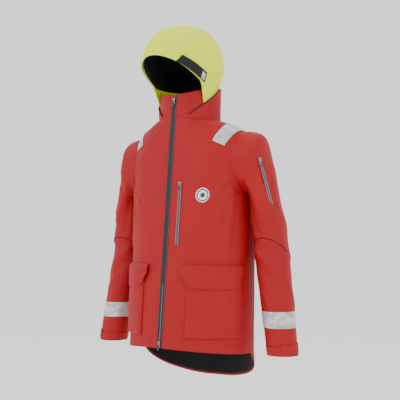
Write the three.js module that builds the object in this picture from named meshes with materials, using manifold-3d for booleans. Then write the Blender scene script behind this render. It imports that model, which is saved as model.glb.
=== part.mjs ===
// A foul weather jacket for sailing: a three-layer shell with a drop tail, a stow-away hood in a high collar,
// a two-way front zip, cargo pockets and reflective bands. It hangs as it does when it is worn by nobody.
//
// Millimetres. +Z is up, the front faces -Y and the wearer's left is +X. The origin is the middle of the
// underside of the hang loop's bar, inside the back of the neck.
//
// Angles round the body start at the front centre (0) and grow towards the wearer's left (90 at the side seam).

import * as THREE from 'three';
import { mergeVertices } from 'three/addons/utils/BufferGeometryUtils.js';
import Module from 'manifold-3d';

const wasm = await Module();
wasm.setup();

// ---- Driving sizes ----------------------------------------------------------------------------------------

const GAP = 0.3; // between two pieces that are sewn or lie together
const CLOTH = 1.6; // shell fabric with its membrane and seam tape
const LINING = 1.0;
const MESH_THICKNESS = 1.6; // the body's lining is a padded mesh
const LINING_CLEARANCE = 1.5; // room between the shell and the lining that hangs inside it
const TRIM = 1.0; // reflective tape, woven badge, hook-and-loop tape

const CHEST_HALF_WIDTH = 213;
const HEM_HALF_WIDTH = 211;
const CHEST_BACK_DEPTH = 122; // from the side seam plane to the back
const HEM_BACK_DEPTH = 119;
const CHEST_HEIGHT = -200; // the level where the yoke starts
const SHOULDER_END_HEIGHT = -48;
const NECK_HALF_WIDTH = 100;
const NECK_BACK_DEPTH = 90;
const NECK_SIDE_HEIGHT = -12;
const NECK_FRONT_HEIGHT = -6;
const NECK_BACK_HEIGHT = -2;
const NECK_FORWARD = 25; // how far the neck's middle lies in front of the side seams
const HEM_FRONT_HEIGHT = -735;
const HEM_SIDE_DROP = 15;
const TAIL_DROP = 106; // how far the back hangs below the side seams

const COLLAR_FRONT_HEIGHT = 68;
const COLLAR_SIDE_HEIGHT = 85;
const STOW_COLLAR_HEIGHT = 91;
const INNER_COLLAR_HEIGHT = 80;
const INNER_COLLAR_INSET = 9;
const SLOT_START_ANGLE = 31;
const CHIN_GUARD_END_ANGLE = 58;

const LOOP_WIDTH = 62;
const LOOP_TAPE = 9; // the tape's width, seen as the bar's height
const LOOP_STAND_OFF = 9;
const LOOP_THICKNESS = 2;
const LOOP_SEAT = 0.9;

const FRONT_DEPTH_AT_COLLAR = 114; // the zip's distance in front of the side seams, top and bottom
const FRONT_DEPTH_AT_HEM = 165;
const ZIP_LEAN = 25; // the zip hangs this much to the wearer's right at the hem
const ZIP_HALF_WIDTH = 9;

const HOOD_HALF_WIDTH = 112;
const HOOD_FRONT_REACH = 216;
const HOOD_BACK_REACH = 114;
const HOOD_SPRING_HEIGHT = 160; // where the crown starts to close over the head
const HOOD_CROWN_RISE = 139;
const HOOD_BASE_GAP = 0.6;
const HOOD_CROWN_HALF_WIDTH = 40;
const PEAK_DEPTH = 34;

const ARMHOLE_RADIUS = 100; // the armhole's round edge, about an axis from front to back
const ARMHOLE_HALF_DEPTH = 80;
const ARMHOLE_X = 200;
const ARMHOLE_HEIGHT = -150;
const SLEEVE_HEAD_SWEEP = 28; // the sleeve's head reaches this far in to the body's front and back
const ELBOW_X = 276;
const ELBOW_HEIGHT = -430;
const ELBOW_BEND = 60; // degrees that the forearm can fold forward
const ELBOW_SLANT = 35; // the upper sleeve's edge rises at the front by this many degrees
const ELBOW_HALF_WIDTH = 54;
const ELBOW_DEPTH = 58;
const ELBOW_SIDE_CLEARANCE = 2; // along the elbow's axis
const ELBOW_CLEARANCE = 1.7; // round it
const CUFF_END_HEIGHT = -745;
const CUFF_HALF_WIDTH = 48;
const CUFF_DEPTH = 47;
const CUFF_BAND_LENGTH = 28;
const WRIST_HALF_WIDTH = 37;

const FOREARM_BAND_TOP = -612;
const FOREARM_BAND_WIDTH = 50;
const SHOULDER_BAND_WIDTH = 42;

const SLIDER_LENGTH = 20;
const SLIDER_WIDTH = 9;
const SLIDER_HEIGHT = 5;
const PULL_LENGTH = 24;
const PULL_WIDTH = 6;
const PULL_THICKNESS = 2;

const POCKET_ZIP_OFFSET = 42; // the chest pocket's zip from the front zip
const POCKET_ZIP_TOP = -210;
const POCKET_ZIP_LENGTH = 200;

const FLAP_TOP = -470;
const FLAP_HEIGHT = 74;
const FLAP_START_ANGLE = 13;
const FLAP_END_ANGLE = 77;
const POCKET_THICKNESS = 7;
const POCKET_CLEARANCE = 0.9;
const POCKET_BOTTOM = -700;

const BADGE_RADIUS = 23;
const BADGE_HEIGHT = -255;
const BADGE_ANGLE = 30;

// ---- Places worked out from them --------------------------------------------------------------------------

const rad = THREE.MathUtils.degToRad;
const lerp = THREE.MathUtils.lerp;
const clamp = THREE.MathUtils.clamp;

const NECK_Y = LOOP_STAND_OFF + INNER_COLLAR_INSET + LINING - NECK_BACK_DEPTH;
const BODY_Y = NECK_Y + NECK_FORWARD;
const ZIP_TOP = new THREE.Vector3(0, BODY_Y - FRONT_DEPTH_AT_COLLAR, COLLAR_FRONT_HEIGHT);
const ZIP_BOTTOM = new THREE.Vector3(-ZIP_LEAN, BODY_Y - FRONT_DEPTH_AT_HEM, HEM_FRONT_HEIGHT);
const ZIP_LENGTH = ZIP_TOP.distanceTo(ZIP_BOTTOM);

// ---- Materials --------------------------------------------------------------------------------------------

const cloth = (color) => new THREE.MeshStandardMaterial({ color, roughness: 0.75, metalness: 0 });
const redShell = () => cloth(0xc3202b);
const yellowShell = () => cloth(0xdde62e);
const blackLining = () => cloth(0x0c0d10);
const zipTape = () => cloth(0x17181d);
const reflective = () => new THREE.MeshStandardMaterial({ color: 0xc9cdd0, roughness: 0.35, metalness: 0.3 });
const dieCast = () => new THREE.MeshStandardMaterial({ color: 0x8f9398, roughness: 0.4, metalness: 0.8 });

// ---- Making and cutting solids ----------------------------------------------------------------------------

const part = new THREE.Group();

function add(name, geometry, material, parent = part) {
  const mesh = new THREE.Mesh(geometry, material);
  mesh.name = name;
  parent.add(mesh);
  return mesh;
}

function signedVolume(geometry) {
  const position = geometry.attributes.position;
  const index = geometry.index;
  const [a, b, c] = [new THREE.Vector3(), new THREE.Vector3(), new THREE.Vector3()];
  let volume = 0;
  for (let i = 0; i < index.count; i += 3) {
    a.fromBufferAttribute(position, index.getX(i));
    b.fromBufferAttribute(position, index.getX(i + 1));
    c.fromBufferAttribute(position, index.getX(i + 2));
    volume += a.dot(b.cross(c)) / 6;
  }
  return volume;
}

// Moves every corner of a plain solid to a new place, and keeps its faces pointing out.
function bend(geometry, place) {
  const bent = geometry.clone();
  bent.deleteAttribute('normal');
  bent.deleteAttribute('uv');
  const position = bent.attributes.position;
  for (let i = 0; i < position.count; i++) {
    const to = place(position.getX(i), position.getY(i), position.getZ(i));
    position.setXYZ(i, to.x, to.y, to.z);
  }
  const merged = mergeVertices(bent, 1e-3);
  if (signedVolume(merged) < 0) merged.index.array.reverse();
  merged.computeVertexNormals();
  return merged;
}

// A sheet of cloth: place(u, v, t) with u and v from 0 to 1 over the sheet and t from its inside (0) to its outside (1).
function sheet(alongU, alongV, place) {
  const block = new THREE.BoxGeometry(1, 1, 1, alongU, alongV, 1);
  return bend(block, (x, y, z) => place(x + 0.5, y + 0.5, z + 0.5));
}

// A tube of cloth: place(angle, v, t) with the angle in radians round it and v from 0 to 1 along it.
function tube(around, along, place) {
  const profile = [];
  for (let i = 0; i <= along; i++) profile.push(new THREE.Vector2(1, i / along));
  for (let i = along; i >= 0; i--) profile.push(new THREE.Vector2(2, i / along));
  profile.push(new THREE.Vector2(1, 0));
  const ring = new THREE.LatheGeometry(profile, around);
  return bend(ring, (x, y, z) => place(Math.atan2(x, z), y, Math.hypot(x, z) - 1));
}

function toSolid(geometry) {
  const bare = geometry.clone();
  bare.deleteAttribute('normal');
  bare.deleteAttribute('uv');
  const merged = mergeVertices(bare, 1e-3);
  return new wasm.Manifold(new wasm.Mesh({
    numProp: 3,
    vertProperties: new Float32Array(merged.attributes.position.array),
    triVerts: new Uint32Array(merged.index.array),
  }));
}

function toGeometry(solid) {
  const mesh = solid.getMesh();
  const geometry = new THREE.BufferGeometry();
  geometry.setAttribute('position', new THREE.BufferAttribute(mesh.vertProperties, 3));
  geometry.setIndex(new THREE.BufferAttribute(mesh.triVerts, 1));
  return geometry;
}

const cutAway = (geometry, ...cutters) =>
  toGeometry(cutters.reduce((solid, cutter) => solid.subtract(toSolid(cutter)), toSolid(geometry)));
const keepInside = (geometry, keeper) => toGeometry(toSolid(geometry).intersect(toSolid(keeper)));

// The largest piece that a cut leaves; the scraps beside it are trimmed off.
function largestPiece(geometry) {
  const pieces = toSolid(geometry).decompose();
  return toGeometry(pieces.reduce((best, piece) => (piece.volume() > best.volume() ? piece : best)));
}

function slab(xLow, xHigh, yLow, yHigh, zLow, zHigh) {
  return new THREE.BoxGeometry(xHigh - xLow, yHigh - yLow, zHigh - zLow)
    .translate((xLow + xHigh) / 2, (yLow + yHigh) / 2, (zLow + zHigh) / 2);
}

// A prism across the body, from an outline drawn in the side view as [y, z] points.
function crossPrism(outline, xLow, xHigh) {
  const shape = new THREE.Shape(outline.map(([y, z]) => new THREE.Vector2(y, z)));
  const prism = new THREE.ExtrudeGeometry(shape, { depth: xHigh - xLow, bevelEnabled: false });
  const stand = new THREE.Matrix4().makeBasis(
    new THREE.Vector3(0, 1, 0), new THREE.Vector3(0, 0, 1), new THREE.Vector3(1, 0, 0));
  return prism.applyMatrix4(stand).translate(xLow, 0, 0);
}

// ---- The body's surface -----------------------------------------------------------------------------------

function zipPointAt(height) {
  const t = (ZIP_TOP.z - height) / (ZIP_TOP.z - ZIP_BOTTOM.z);
  return ZIP_TOP.clone().lerp(ZIP_BOTTOM, t);
}

function hemHeight(angle) {
  const turned = Math.abs(angle) <= 180 ? Math.abs(angle) : 360 - Math.abs(angle);
  const side = HEM_FRONT_HEIGHT - HEM_SIDE_DROP;
  if (turned <= 90) return HEM_FRONT_HEIGHT - HEM_SIDE_DROP * Math.sin(rad(turned)) ** 2;
  return side - TAIL_DROP * Math.sin(rad(turned - 90)) ** 0.7;
}

const power = (value, exponent) => Math.sign(value) * Math.abs(value) ** exponent;

// level is 0 at the hem, 1 at the chest and 2 at the neck seam.
function ringPoint(angle, level) {
  const a = rad(angle);
  const front = Math.cos(a) >= 0;
  if (level <= 1) {
    const z = lerp(hemHeight(angle), CHEST_HEIGHT, level);
    const roundness = 2 / 2.3;
    const halfWidth = lerp(HEM_HALF_WIDTH, CHEST_HALF_WIDTH, level);
    const zip = zipPointAt(z);
    const depth = front ? BODY_Y - zip.y : lerp(HEM_BACK_DEPTH, CHEST_BACK_DEPTH, level);
    const lean = front ? zip.x * Math.cos(a) ** 2 : 0;
    return new THREE.Vector3(
      halfWidth * power(Math.sin(a), roundness) + lean,
      BODY_Y - depth * power(Math.cos(a), roundness),
      z);
  }
  const w = level - 1;
  const turn = w * Math.PI / 2;
  const squareness = 2 / 4.5;
  const sideInset = 1 - Math.cos(turn) ** squareness;
  const sideRise = Math.sin(turn) ** squareness;
  const halfWidth = lerp(CHEST_HALF_WIDTH, NECK_HALF_WIDTH, sideInset);
  const slope = (halfWidth - NECK_HALF_WIDTH) / (CHEST_HALF_WIDTH - NECK_HALF_WIDTH);
  const shoulderLine = lerp(NECK_SIDE_HEIGHT, SHOULDER_END_HEIGHT, slope);
  const sideZ = lerp(CHEST_HEIGHT, shoulderLine, sideRise);
  const sideY = lerp(BODY_Y, NECK_Y, sideInset);
  const frontZ = lerp(CHEST_HEIGHT, NECK_FRONT_HEIGHT, w);
  const zip = zipPointAt(frontZ);
  const backRound = 2 / 2.4;
  const backZ = lerp(CHEST_HEIGHT, NECK_BACK_HEIGHT, Math.sin(turn) ** backRound);
  const backY = lerp(BODY_Y + CHEST_BACK_DEPTH, NECK_Y + NECK_BACK_DEPTH, 1 - Math.cos(turn) ** backRound);
  const roundness = 2 / lerp(2.3, 2, w);
  const forward = power(Math.cos(a), roundness);
  const endY = front ? zip.y : backY;
  return new THREE.Vector3(
    halfWidth * power(Math.sin(a), roundness) + (front ? zip.x * Math.cos(a) ** 2 : 0),
    sideY + (endY - sideY) * Math.abs(forward),
    lerp(sideZ, front ? frontZ : backZ, Math.cos(a) ** 2));
}

// A point on the body, moved out from its surface (or in, when out is negative).
function bodyPoint(angle, level, out = 0) {
  const step = 0.02;
  const at = ringPoint(angle, level);
  const acrossWidth = ringPoint(angle + 1, level).sub(ringPoint(angle - 1, level));
  const upward = ringPoint(angle, Math.min(level + step, 2)).sub(ringPoint(angle, Math.max(level - step, 0)));
  const normal = acrossWidth.cross(upward).normalize();
  return at.addScaledVector(normal, out);
}

// The level of a given height on the straight part below the chest.
const levelAt = (angle, height) => (height - hemHeight(angle)) / (CHEST_HEIGHT - hemHeight(angle));

const armholeBarrel = (side, radius = ARMHOLE_RADIUS, halfDepth = ARMHOLE_HALF_DEPTH) =>
  new THREE.CylinderGeometry(radius, radius, 2 * halfDepth, 48)
    .translate(side * ARMHOLE_X, BODY_Y, ARMHOLE_HEIGHT);

// ---- Neck and collar surface ------------------------------------------------------------------------------

function neckSeamHeight(angle) {
  const a = rad(angle);
  const end = Math.cos(a) >= 0 ? NECK_FRONT_HEIGHT : NECK_BACK_HEIGHT;
  return lerp(NECK_SIDE_HEIGHT, end, Math.cos(a) ** 2);
}

function collarPoint(angle, height, out = 0) {
  const a = rad(angle);
  const front = Math.cos(a) >= 0;
  const depth = front ? NECK_Y - zipPointAt(height).y : NECK_BACK_DEPTH;
  return new THREE.Vector3(
    (NECK_HALF_WIDTH + out) * Math.sin(a) + (front ? zipPointAt(height).x * Math.cos(a) ** 2 : 0),
    NECK_Y - (depth + out) * Math.cos(a),
    height);
}

// The angle at which the body or collar edge meets the front zip's tape.
const frontEdgeAngle = (halfWidth) => THREE.MathUtils.radToDeg(Math.asin((ZIP_HALF_WIDTH + GAP) / halfWidth));

// ---- Body panels ------------------------------------------------------------------------------------------

// The front edge runs beside the zip's tape, so its angle grows as the rings shrink towards the neck.
function frontEdge(level) {
  const edge = ZIP_HALF_WIDTH + GAP;
  const halfWidth = level <= 1 ? CHEST_HALF_WIDTH : ringPoint(90, level).x;
  const roundness = level <= 1 ? 2 / 2.3 : 2 / lerp(2.3, 2, level - 1);
  return THREE.MathUtils.radToDeg(Math.asin((edge / halfWidth) ** (1 / roundness)));
}

const SEAM = 0.15; // half of the gap between two panels at a seam, in degrees

function bodyPatch(from, to, lowest, highest, columns, rows, inside, outside) {
  return sheet(columns, rows, (u, v, t) =>
    bodyPoint(lerp(from, to, u), lerp(lowest, highest, v), lerp(inside, outside, t)));
}

// Below the chest a panel is straight from hem to yoke, so it needs fewer rows there than over the shoulder.
const STRAIGHT_ROWS = 2;
const YOKE_ROWS = 7;
const PANEL_ROWS = STRAIGHT_ROWS + YOKE_ROWS;
const panelLevel = (v) => {
  const row = v * PANEL_ROWS;
  return row <= STRAIGHT_ROWS ? row / STRAIGHT_ROWS : 1 + (row - STRAIGHT_ROWS) / YOKE_ROWS;
};

for (const [name, side] of [['left', 1], ['right', -1]]) {
  const shell = sheet(9, PANEL_ROWS, (u, v, t) => {
    const level = panelLevel(v);
    const angle = side * lerp(frontEdge(level), 90 - SEAM, u);
    return bodyPoint(angle, level, -CLOTH * (1 - t));
  });
  add(name + '_front_panel', cutAway(shell, armholeBarrel(side)), redShell());
}

const backShell = sheet(18, PANEL_ROWS, (u, v, t) =>
  bodyPoint(lerp(90 + SEAM, 270 - SEAM, u), panelLevel(v), -CLOTH * (1 - t)));
add('back_panel', cutAway(backShell, armholeBarrel(1), armholeBarrel(-1)), redShell());

const LINING_OUT = -CLOTH - LINING_CLEARANCE;
const TAIL_FACING_LEVEL = 0.2;
const LINING_EDGE = 18; // the lining ends this many degrees from the front centre, behind the storm flap
add('tail_facing', bodyPatch(
  90, 270, 0.01, TAIL_FACING_LEVEL - 0.002, 18, 1, LINING_OUT - LINING, LINING_OUT), blackLining());
const LINING_TOP = ARMHOLE_HEIGHT - ARMHOLE_RADIUS - 4; // the mesh ends just under the armholes
add('mesh_lining', sheet(36, 1, (u, v, t) => {
  const angle = lerp(LINING_EDGE, 360 - LINING_EDGE, u);
  const level = lerp(TAIL_FACING_LEVEL, levelAt(angle, LINING_TOP), v);
  return bodyPoint(angle, level, LINING_OUT - MESH_THICKNESS * (1 - t));
}), blackLining());

// ---- Collar -----------------------------------------------------------------------------------------------

for (const [name, side] of [['left', 1], ['right', -1]]) {
  add(name + '_chin_guard', sheet(6, 2, (u, v, t) => {
    const angle = lerp(frontEdgeAngle(NECK_HALF_WIDTH), CHIN_GUARD_END_ANGLE, u);
    const past = clamp((angle - SLOT_START_ANGLE) / (CHIN_GUARD_END_ANGLE - SLOT_START_ANGLE), 0, 1);
    const bottom = neckSeamHeight(angle) + GAP + 2 + 50 * past;
    const top = lerp(COLLAR_FRONT_HEIGHT, COLLAR_SIDE_HEIGHT, clamp(angle / CHIN_GUARD_END_ANGLE, 0, 1) ** 2);
    return collarPoint(side * angle, lerp(bottom, top, v), -CLOTH * (1 - t));
  }), redShell());
}

const STOW_GAP = 1; // the stow collar stands this far outside the chin guards
add('hood_stow_collar', sheet(24, 2, (u, v, t) => {
  const angle = lerp(SLOT_START_ANGLE, 360 - SLOT_START_ANGLE, u);
  const turned = Math.min(angle, 360 - angle);
  const rise = clamp((turned - SLOT_START_ANGLE) / (100 - SLOT_START_ANGLE), 0, 1);
  const bottom = neckSeamHeight(turned) + GAP + 2;
  const top = lerp(bottom + 6, STOW_COLLAR_HEIGHT, rise);
  return collarPoint(angle, lerp(bottom, top, v), STOW_GAP + CLOTH * t);
}), redShell());

const INNER_COLLAR_START = 22; // beside the storm flap
// The inner collar is sewn in at the neck seam and then stands inside the outer one, with room for the hood between.
add('inner_collar', sheet(24, 2, (u, v, t) => {
  const angle = lerp(INNER_COLLAR_START, 360 - INNER_COLLAR_START, u);
  const turned = Math.min(angle, 360 - angle);
  const top = lerp(COLLAR_FRONT_HEIGHT - 6, INNER_COLLAR_HEIGHT, clamp(turned / 60, 0, 1));
  const row = Math.round(2 * v);
  const height = [neckSeamHeight(turned) - 2, 0, top][row];
  const inset = [CLOTH + 0.6, INNER_COLLAR_INSET, INNER_COLLAR_INSET][row];
  return collarPoint(angle, height, -inset - LINING * (1 - t));
}), blackLining());

// The hang loop is a flat tape bent into a shallow U; its two feet are sewn to the inner collar.
function hangLoop() {
  const half = LOOP_WIDTH / 2;
  const inner = half - LOOP_THICKNESS;
  const collarHalf = NECK_HALF_WIDTH - INNER_COLLAR_INSET - LINING;
  const collarBack = NECK_BACK_DEPTH - INNER_COLLAR_INSET - LINING;
  const footY = NECK_Y + collarBack * Math.sqrt(1 - (half / collarHalf) ** 2) - LOOP_SEAT;
  const shape = new THREE.Shape();
  shape.moveTo(-half, -LOOP_THICKNESS / 2);
  shape.lineTo(half, -LOOP_THICKNESS / 2);
  shape.lineTo(half, footY);
  shape.lineTo(inner, footY);
  shape.lineTo(inner, LOOP_THICKNESS / 2);
  shape.lineTo(-inner, LOOP_THICKNESS / 2);
  shape.lineTo(-inner, footY);
  shape.lineTo(-half, footY);
  return new THREE.ExtrudeGeometry(shape, { depth: LOOP_TAPE, bevelEnabled: false });
}
add('hang_loop', hangLoop(), blackLining());

// ---- Hood -------------------------------------------------------------------------------------------------

const HOOD_BASE = STOW_COLLAR_HEIGHT + HOOD_BASE_GAP;
const HOOD_Y = NECK_Y + 2;

// The solid inside the hood's surface moved out by some millimetres, with a flat base at a given height.
function hoodForm(out, base) {
  const steps = 7;
  const profile = [];
  for (let i = 0; i <= steps; i++) {
    const a = Math.PI / 2 * (1 - i / steps);
    profile.push(new THREE.Vector2(Math.cos(a), Math.sin(a)));
  }
  profile[0].x = 0;
  profile.push(new THREE.Vector2(1, -1), new THREE.Vector2(0, -1));
  return bend(new THREE.LatheGeometry(profile, 24), (x, y, forward) => {
    const z = y >= 0 ? HOOD_SPRING_HEIGHT + y * (HOOD_CROWN_RISE + out) : base;
    const drop = y >= 0 ? 0 : (HOOD_SPRING_HEIGHT - base) / (HOOD_SPRING_HEIGHT - HOOD_BASE);
    const reach = forward > 0 ? HOOD_FRONT_REACH : lerp(HOOD_BACK_REACH, NECK_BACK_DEPTH + 1, drop);
    const halfWidth = lerp(HOOD_HALF_WIDTH, NECK_HALF_WIDTH - 3, drop) + out;
    return new THREE.Vector3(x * halfWidth, HOOD_Y - forward * (reach + out), z);
  });
}

// The hood's shell: its form less the same form inside it, which also opens the base.
const hoodShellAt = (out, wall) => cutAway(hoodForm(out, HOOD_BASE), hoodForm(out - wall, HOOD_BASE - 5));

const FACE_Y = NECK_Y - 66; // where the hood's opening drops straight down beside the chin
const PEAK_TIP_Y = HOOD_Y - HOOD_FRONT_REACH;
const CHEEK_Y = PEAK_TIP_Y + 48;
const CHEEK_HEIGHT = 148;
const faceCut = crossPrism([
  [PEAK_TIP_Y - 40, HOOD_BASE - 40],
  [FACE_Y, HOOD_BASE - 40],
  [FACE_Y, HOOD_BASE + 6],
  [CHEEK_Y, CHEEK_HEIGHT],
  [PEAK_TIP_Y, 170],
  [PEAK_TIP_Y - 40, 185],
], -200, 200);

const hoodShell = cutAway(hoodShellAt(0, CLOTH), faceCut);
const PEAK_BACK_Y = PEAK_TIP_Y + PEAK_DEPTH;
const wide = 250;
const behindPeak = (xLow, xHigh) => slab(xLow, xHigh, PEAK_BACK_Y + GAP, wide, -wide, 2 * wide);
const halfSeam = GAP / 2;
add('hood_peak', keepInside(hoodShell, slab(-wide, wide, -2 * wide, PEAK_BACK_Y, -wide, 2 * wide)), yellowShell());
add('hood_crown_panel', keepInside(hoodShell,
  behindPeak(-HOOD_CROWN_HALF_WIDTH + halfSeam, HOOD_CROWN_HALF_WIDTH - halfSeam)), yellowShell());
add('hood_left_panel', keepInside(hoodShell, behindPeak(HOOD_CROWN_HALF_WIDTH + halfSeam, wide)), yellowShell());
add('hood_right_panel', keepInside(hoodShell, behindPeak(-wide, -HOOD_CROWN_HALF_WIDTH - halfSeam)), yellowShell());
add('hood_lining', cutAway(hoodShellAt(-CLOTH - GAP, LINING), faceCut), blackLining());

// The tabs lie on the hood's cheeks, along the edge of the face opening.
const tabOutline = [
  [CHEEK_Y + 4, CHEEK_HEIGHT + 6],
  [FACE_Y + 8, HOOD_BASE + 8],
  [FACE_Y + 8, HOOD_BASE + 36],
  [CHEEK_Y + 14, CHEEK_HEIGHT + 26],
];
for (const [name, side] of [['left', 1], ['right', -1]]) {
  const reach = side > 0 ? [HOOD_CROWN_HALF_WIDTH, 200] : [-200, -HOOD_CROWN_HALF_WIDTH];
  add(name + '_hood_tab', keepInside(hoodShellAt(GAP + TRIM, TRIM), crossPrism(tabOutline, ...reach)), blackLining());
}

// ---- Sleeves ----------------------------------------------------------------------------------------------

const SLEEVE_SEAT = 0.6; // the sleeve's head lies this far inside the armhole's edge
const onBarrel = (degrees) => [
  ARMHOLE_X + (ARMHOLE_RADIUS - SLEEVE_SEAT) * Math.cos(rad(degrees)),
  ARMHOLE_HEIGHT + (ARMHOLE_RADIUS - SLEEVE_SEAT) * Math.sin(rad(degrees)),
];
const curve = (points) => new THREE.SplineCurve(points.map(([x, z]) => new THREE.Vector2(x, z)));
const UNDERARM_X = CHEST_HALF_WIDTH + 6;
const ELBOW_OUTER_X = ELBOW_X + ELBOW_HALF_WIDTH + ELBOW_SIDE_CLEARANCE + CLOTH;
const ELBOW_INNER_X = ELBOW_X - ELBOW_HALF_WIDTH - ELBOW_SIDE_CLEARANCE - CLOTH;

// The upper sleeve seen from the front: its outer edge over the shoulder, and its inner edge from the armpit.
const upperOuter = curve([
  onBarrel(94), onBarrel(72), onBarrel(54), [272, -112], [281, -150], [289, -200],
  [302, -265], [319, -345], [ELBOW_OUTER_X, ELBOW_HEIGHT],
]);
const upperInner = curve([
  [ARMHOLE_X + 1, -244], [ARMHOLE_X + 5, -246], [ARMHOLE_X + 9, -248], [UNDERARM_X - 5, -250], [UNDERARM_X - 2, -254],
  [UNDERARM_X, -262], [UNDERARM_X, -300], [UNDERARM_X, -365], [ELBOW_INNER_X, ELBOW_HEIGHT],
]);
const UPPER_ARM_BACK = 18; // the arm hangs a little behind the side seam at the elbow
const ELBOW_Y = BODY_Y + UPPER_ARM_BACK;

function upperSleevePoint(side, angle, v, out) {
  const outer = upperOuter.getPoint(v);
  const inner = upperInner.getPoint(v);
  const across = outer.clone().sub(inner);
  const half = across.length() / 2;
  across.normalize();
  const middle = outer.clone().add(inner).multiplyScalar(0.5);
  const depth = lerp(ARMHOLE_HALF_DEPTH - 5, ELBOW_DEPTH + ELBOW_CLEARANCE + CLOTH, clamp((v - 0.1) / 0.9, 0, 1));
  const y = BODY_Y + UPPER_ARM_BACK * clamp((v - 0.45) / 0.55, 0, 1);
  const front = Math.max(0, Math.sin(angle));
  const lift = v > 0.999 ? front * depth * Math.tan(rad(ELBOW_SLANT)) : 0;
  const sweep = SLEEVE_HEAD_SWEEP * Math.abs(Math.sin(angle)) * clamp(1 - v / 0.25, 0, 1);
  return new THREE.Vector3(
    side * (middle.x - sweep + across.x * (half + out) * Math.cos(angle)),
    y - (depth + out) * Math.sin(angle),
    middle.y + across.y * (half + out) * Math.cos(angle) + lift);
}

// The forearm seen from the front, from the elbow to the cuff's end.
const CUFF_X = 330;
const FOREARM_FORWARD = 28; // the cuff hangs this much in front of the elbow
const ELBOW_ROUND = rad(ELBOW_BEND - ELBOW_SLANT); // the crook stays round down to here, so that it turns freely

// How far the forearm's front lies before the elbow's axis.
function forearmFront(height) {
  const drop = ELBOW_HEIGHT - height;
  const roundEnd = ELBOW_DEPTH * Math.sin(ELBOW_ROUND);
  if (drop <= roundEnd) return Math.sqrt(ELBOW_DEPTH ** 2 - drop ** 2);
  const t = (drop - roundEnd) / (ELBOW_HEIGHT - CUFF_END_HEIGHT - roundEnd);
  return lerp(ELBOW_DEPTH * Math.cos(ELBOW_ROUND), CUFF_DEPTH + FOREARM_FORWARD, t);
}

function forearmPoint(side, angle, height, out) {
  const t = (ELBOW_HEIGHT - height) / (ELBOW_HEIGHT - CUFF_END_HEIGHT);
  const below = clamp(t, 0, 1);
  const middle = lerp(ELBOW_X, CUFF_X, below ** 1.15);
  const half = lerp(ELBOW_HALF_WIDTH, CUFF_HALF_WIDTH, below);
  const above = Math.max(0, height - ELBOW_HEIGHT) / ELBOW_DEPTH;
  const dome = Math.sqrt(1 - above * above); // above its axis the sleeve's end is round, so that it turns freely
  const back = lerp(ELBOW_DEPTH, CUFF_DEPTH - FOREARM_FORWARD, below) * dome;
  const reach = Math.sin(angle) > 0 ? forearmFront(height) : back;
  return new THREE.Vector3(
    side * (middle + (half + out) * dome * Math.cos(angle)),
    ELBOW_Y - (reach + out) * Math.sin(angle),
    height);
}

const SLEEVE_TRIM_SEAT = 0.9; // the facets of a sleeve twist, so its trim lies a little off it
const SEAL_SEAT = 0.5;
const AROUND = 16; // facets round a sleeve, the same on all its pieces so that they nest
const ELBOW_OVERLAP = 24;
const TAB_START = -2; // the tab is sewn on two facets behind the sleeve's outer side
const TAB_FACETS = 5;
const CUFF_SEAM = CUFF_END_HEIGHT + CUFF_BAND_LENGTH;
const CROOK_HEIGHT = ELBOW_HEIGHT - ELBOW_DEPTH * Math.sin(ELBOW_ROUND);
const FOREARM_ROWS = [
  ELBOW_HEIGHT + ELBOW_OVERLAP, ELBOW_HEIGHT + ELBOW_OVERLAP / 2, ELBOW_HEIGHT,
  lerp(ELBOW_HEIGHT, CROOK_HEIGHT, 0.5), CROOK_HEIGHT,
  lerp(CROOK_HEIGHT, CUFF_SEAM, 0.4), FOREARM_BAND_TOP, FOREARM_BAND_TOP - FOREARM_BAND_WIDTH, CUFF_SEAM + GAP,
];
for (const [name, side] of [['left', 1], ['right', -1]]) {
  add(name + '_upper_sleeve',
    tube(AROUND, 9, (angle, v, t) => upperSleevePoint(side, angle, v, -CLOTH * (1 - t))), redShell());
  add(name + '_lower_sleeve', tube(AROUND, FOREARM_ROWS.length - 1, (angle, v, t) => {
    const height = FOREARM_ROWS[Math.round(v * (FOREARM_ROWS.length - 1))];
    return forearmPoint(side, angle, height, -CLOTH * (1 - t));
  }), redShell());
  add(name + '_cuff_band', tube(AROUND, 1, (angle, v, t) =>
    forearmPoint(side, angle, lerp(CUFF_SEAM, CUFF_END_HEIGHT, v), -CLOTH * (1 - t))), redShell());
  add(name + '_wrist_seal', tube(AROUND, 1, (angle, v, t) => {
    const height = lerp(CUFF_SEAM + 26, CUFF_SEAM - 14, v);
    const narrowing = (CUFF_HALF_WIDTH - WRIST_HALF_WIDTH) * v;
    return forearmPoint(side, angle, height, -CLOTH - SEAL_SEAT - narrowing - LINING * (1 - t));
  }), blackLining());
  add(name + '_forearm_band', tube(AROUND, 1, (angle, v, t) =>
    forearmPoint(side, angle, FOREARM_BAND_TOP - FOREARM_BAND_WIDTH * v, SLEEVE_TRIM_SEAT + TRIM * t)), reflective());
  add(name + '_cuff_tab', sheet(TAB_FACETS, 1, (u, v, t) => {
    const angle = (lerp(TAB_START, TAB_START + TAB_FACETS, u) / AROUND) * 2 * Math.PI;
    return forearmPoint(side, angle, lerp(CUFF_SEAM - 18, CUFF_SEAM + 8, v), GAP + 0.2 + CLOTH * t);
  }), redShell());
}

// ---- Reflective bands over the shoulders ------------------------------------------------------------------

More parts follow.
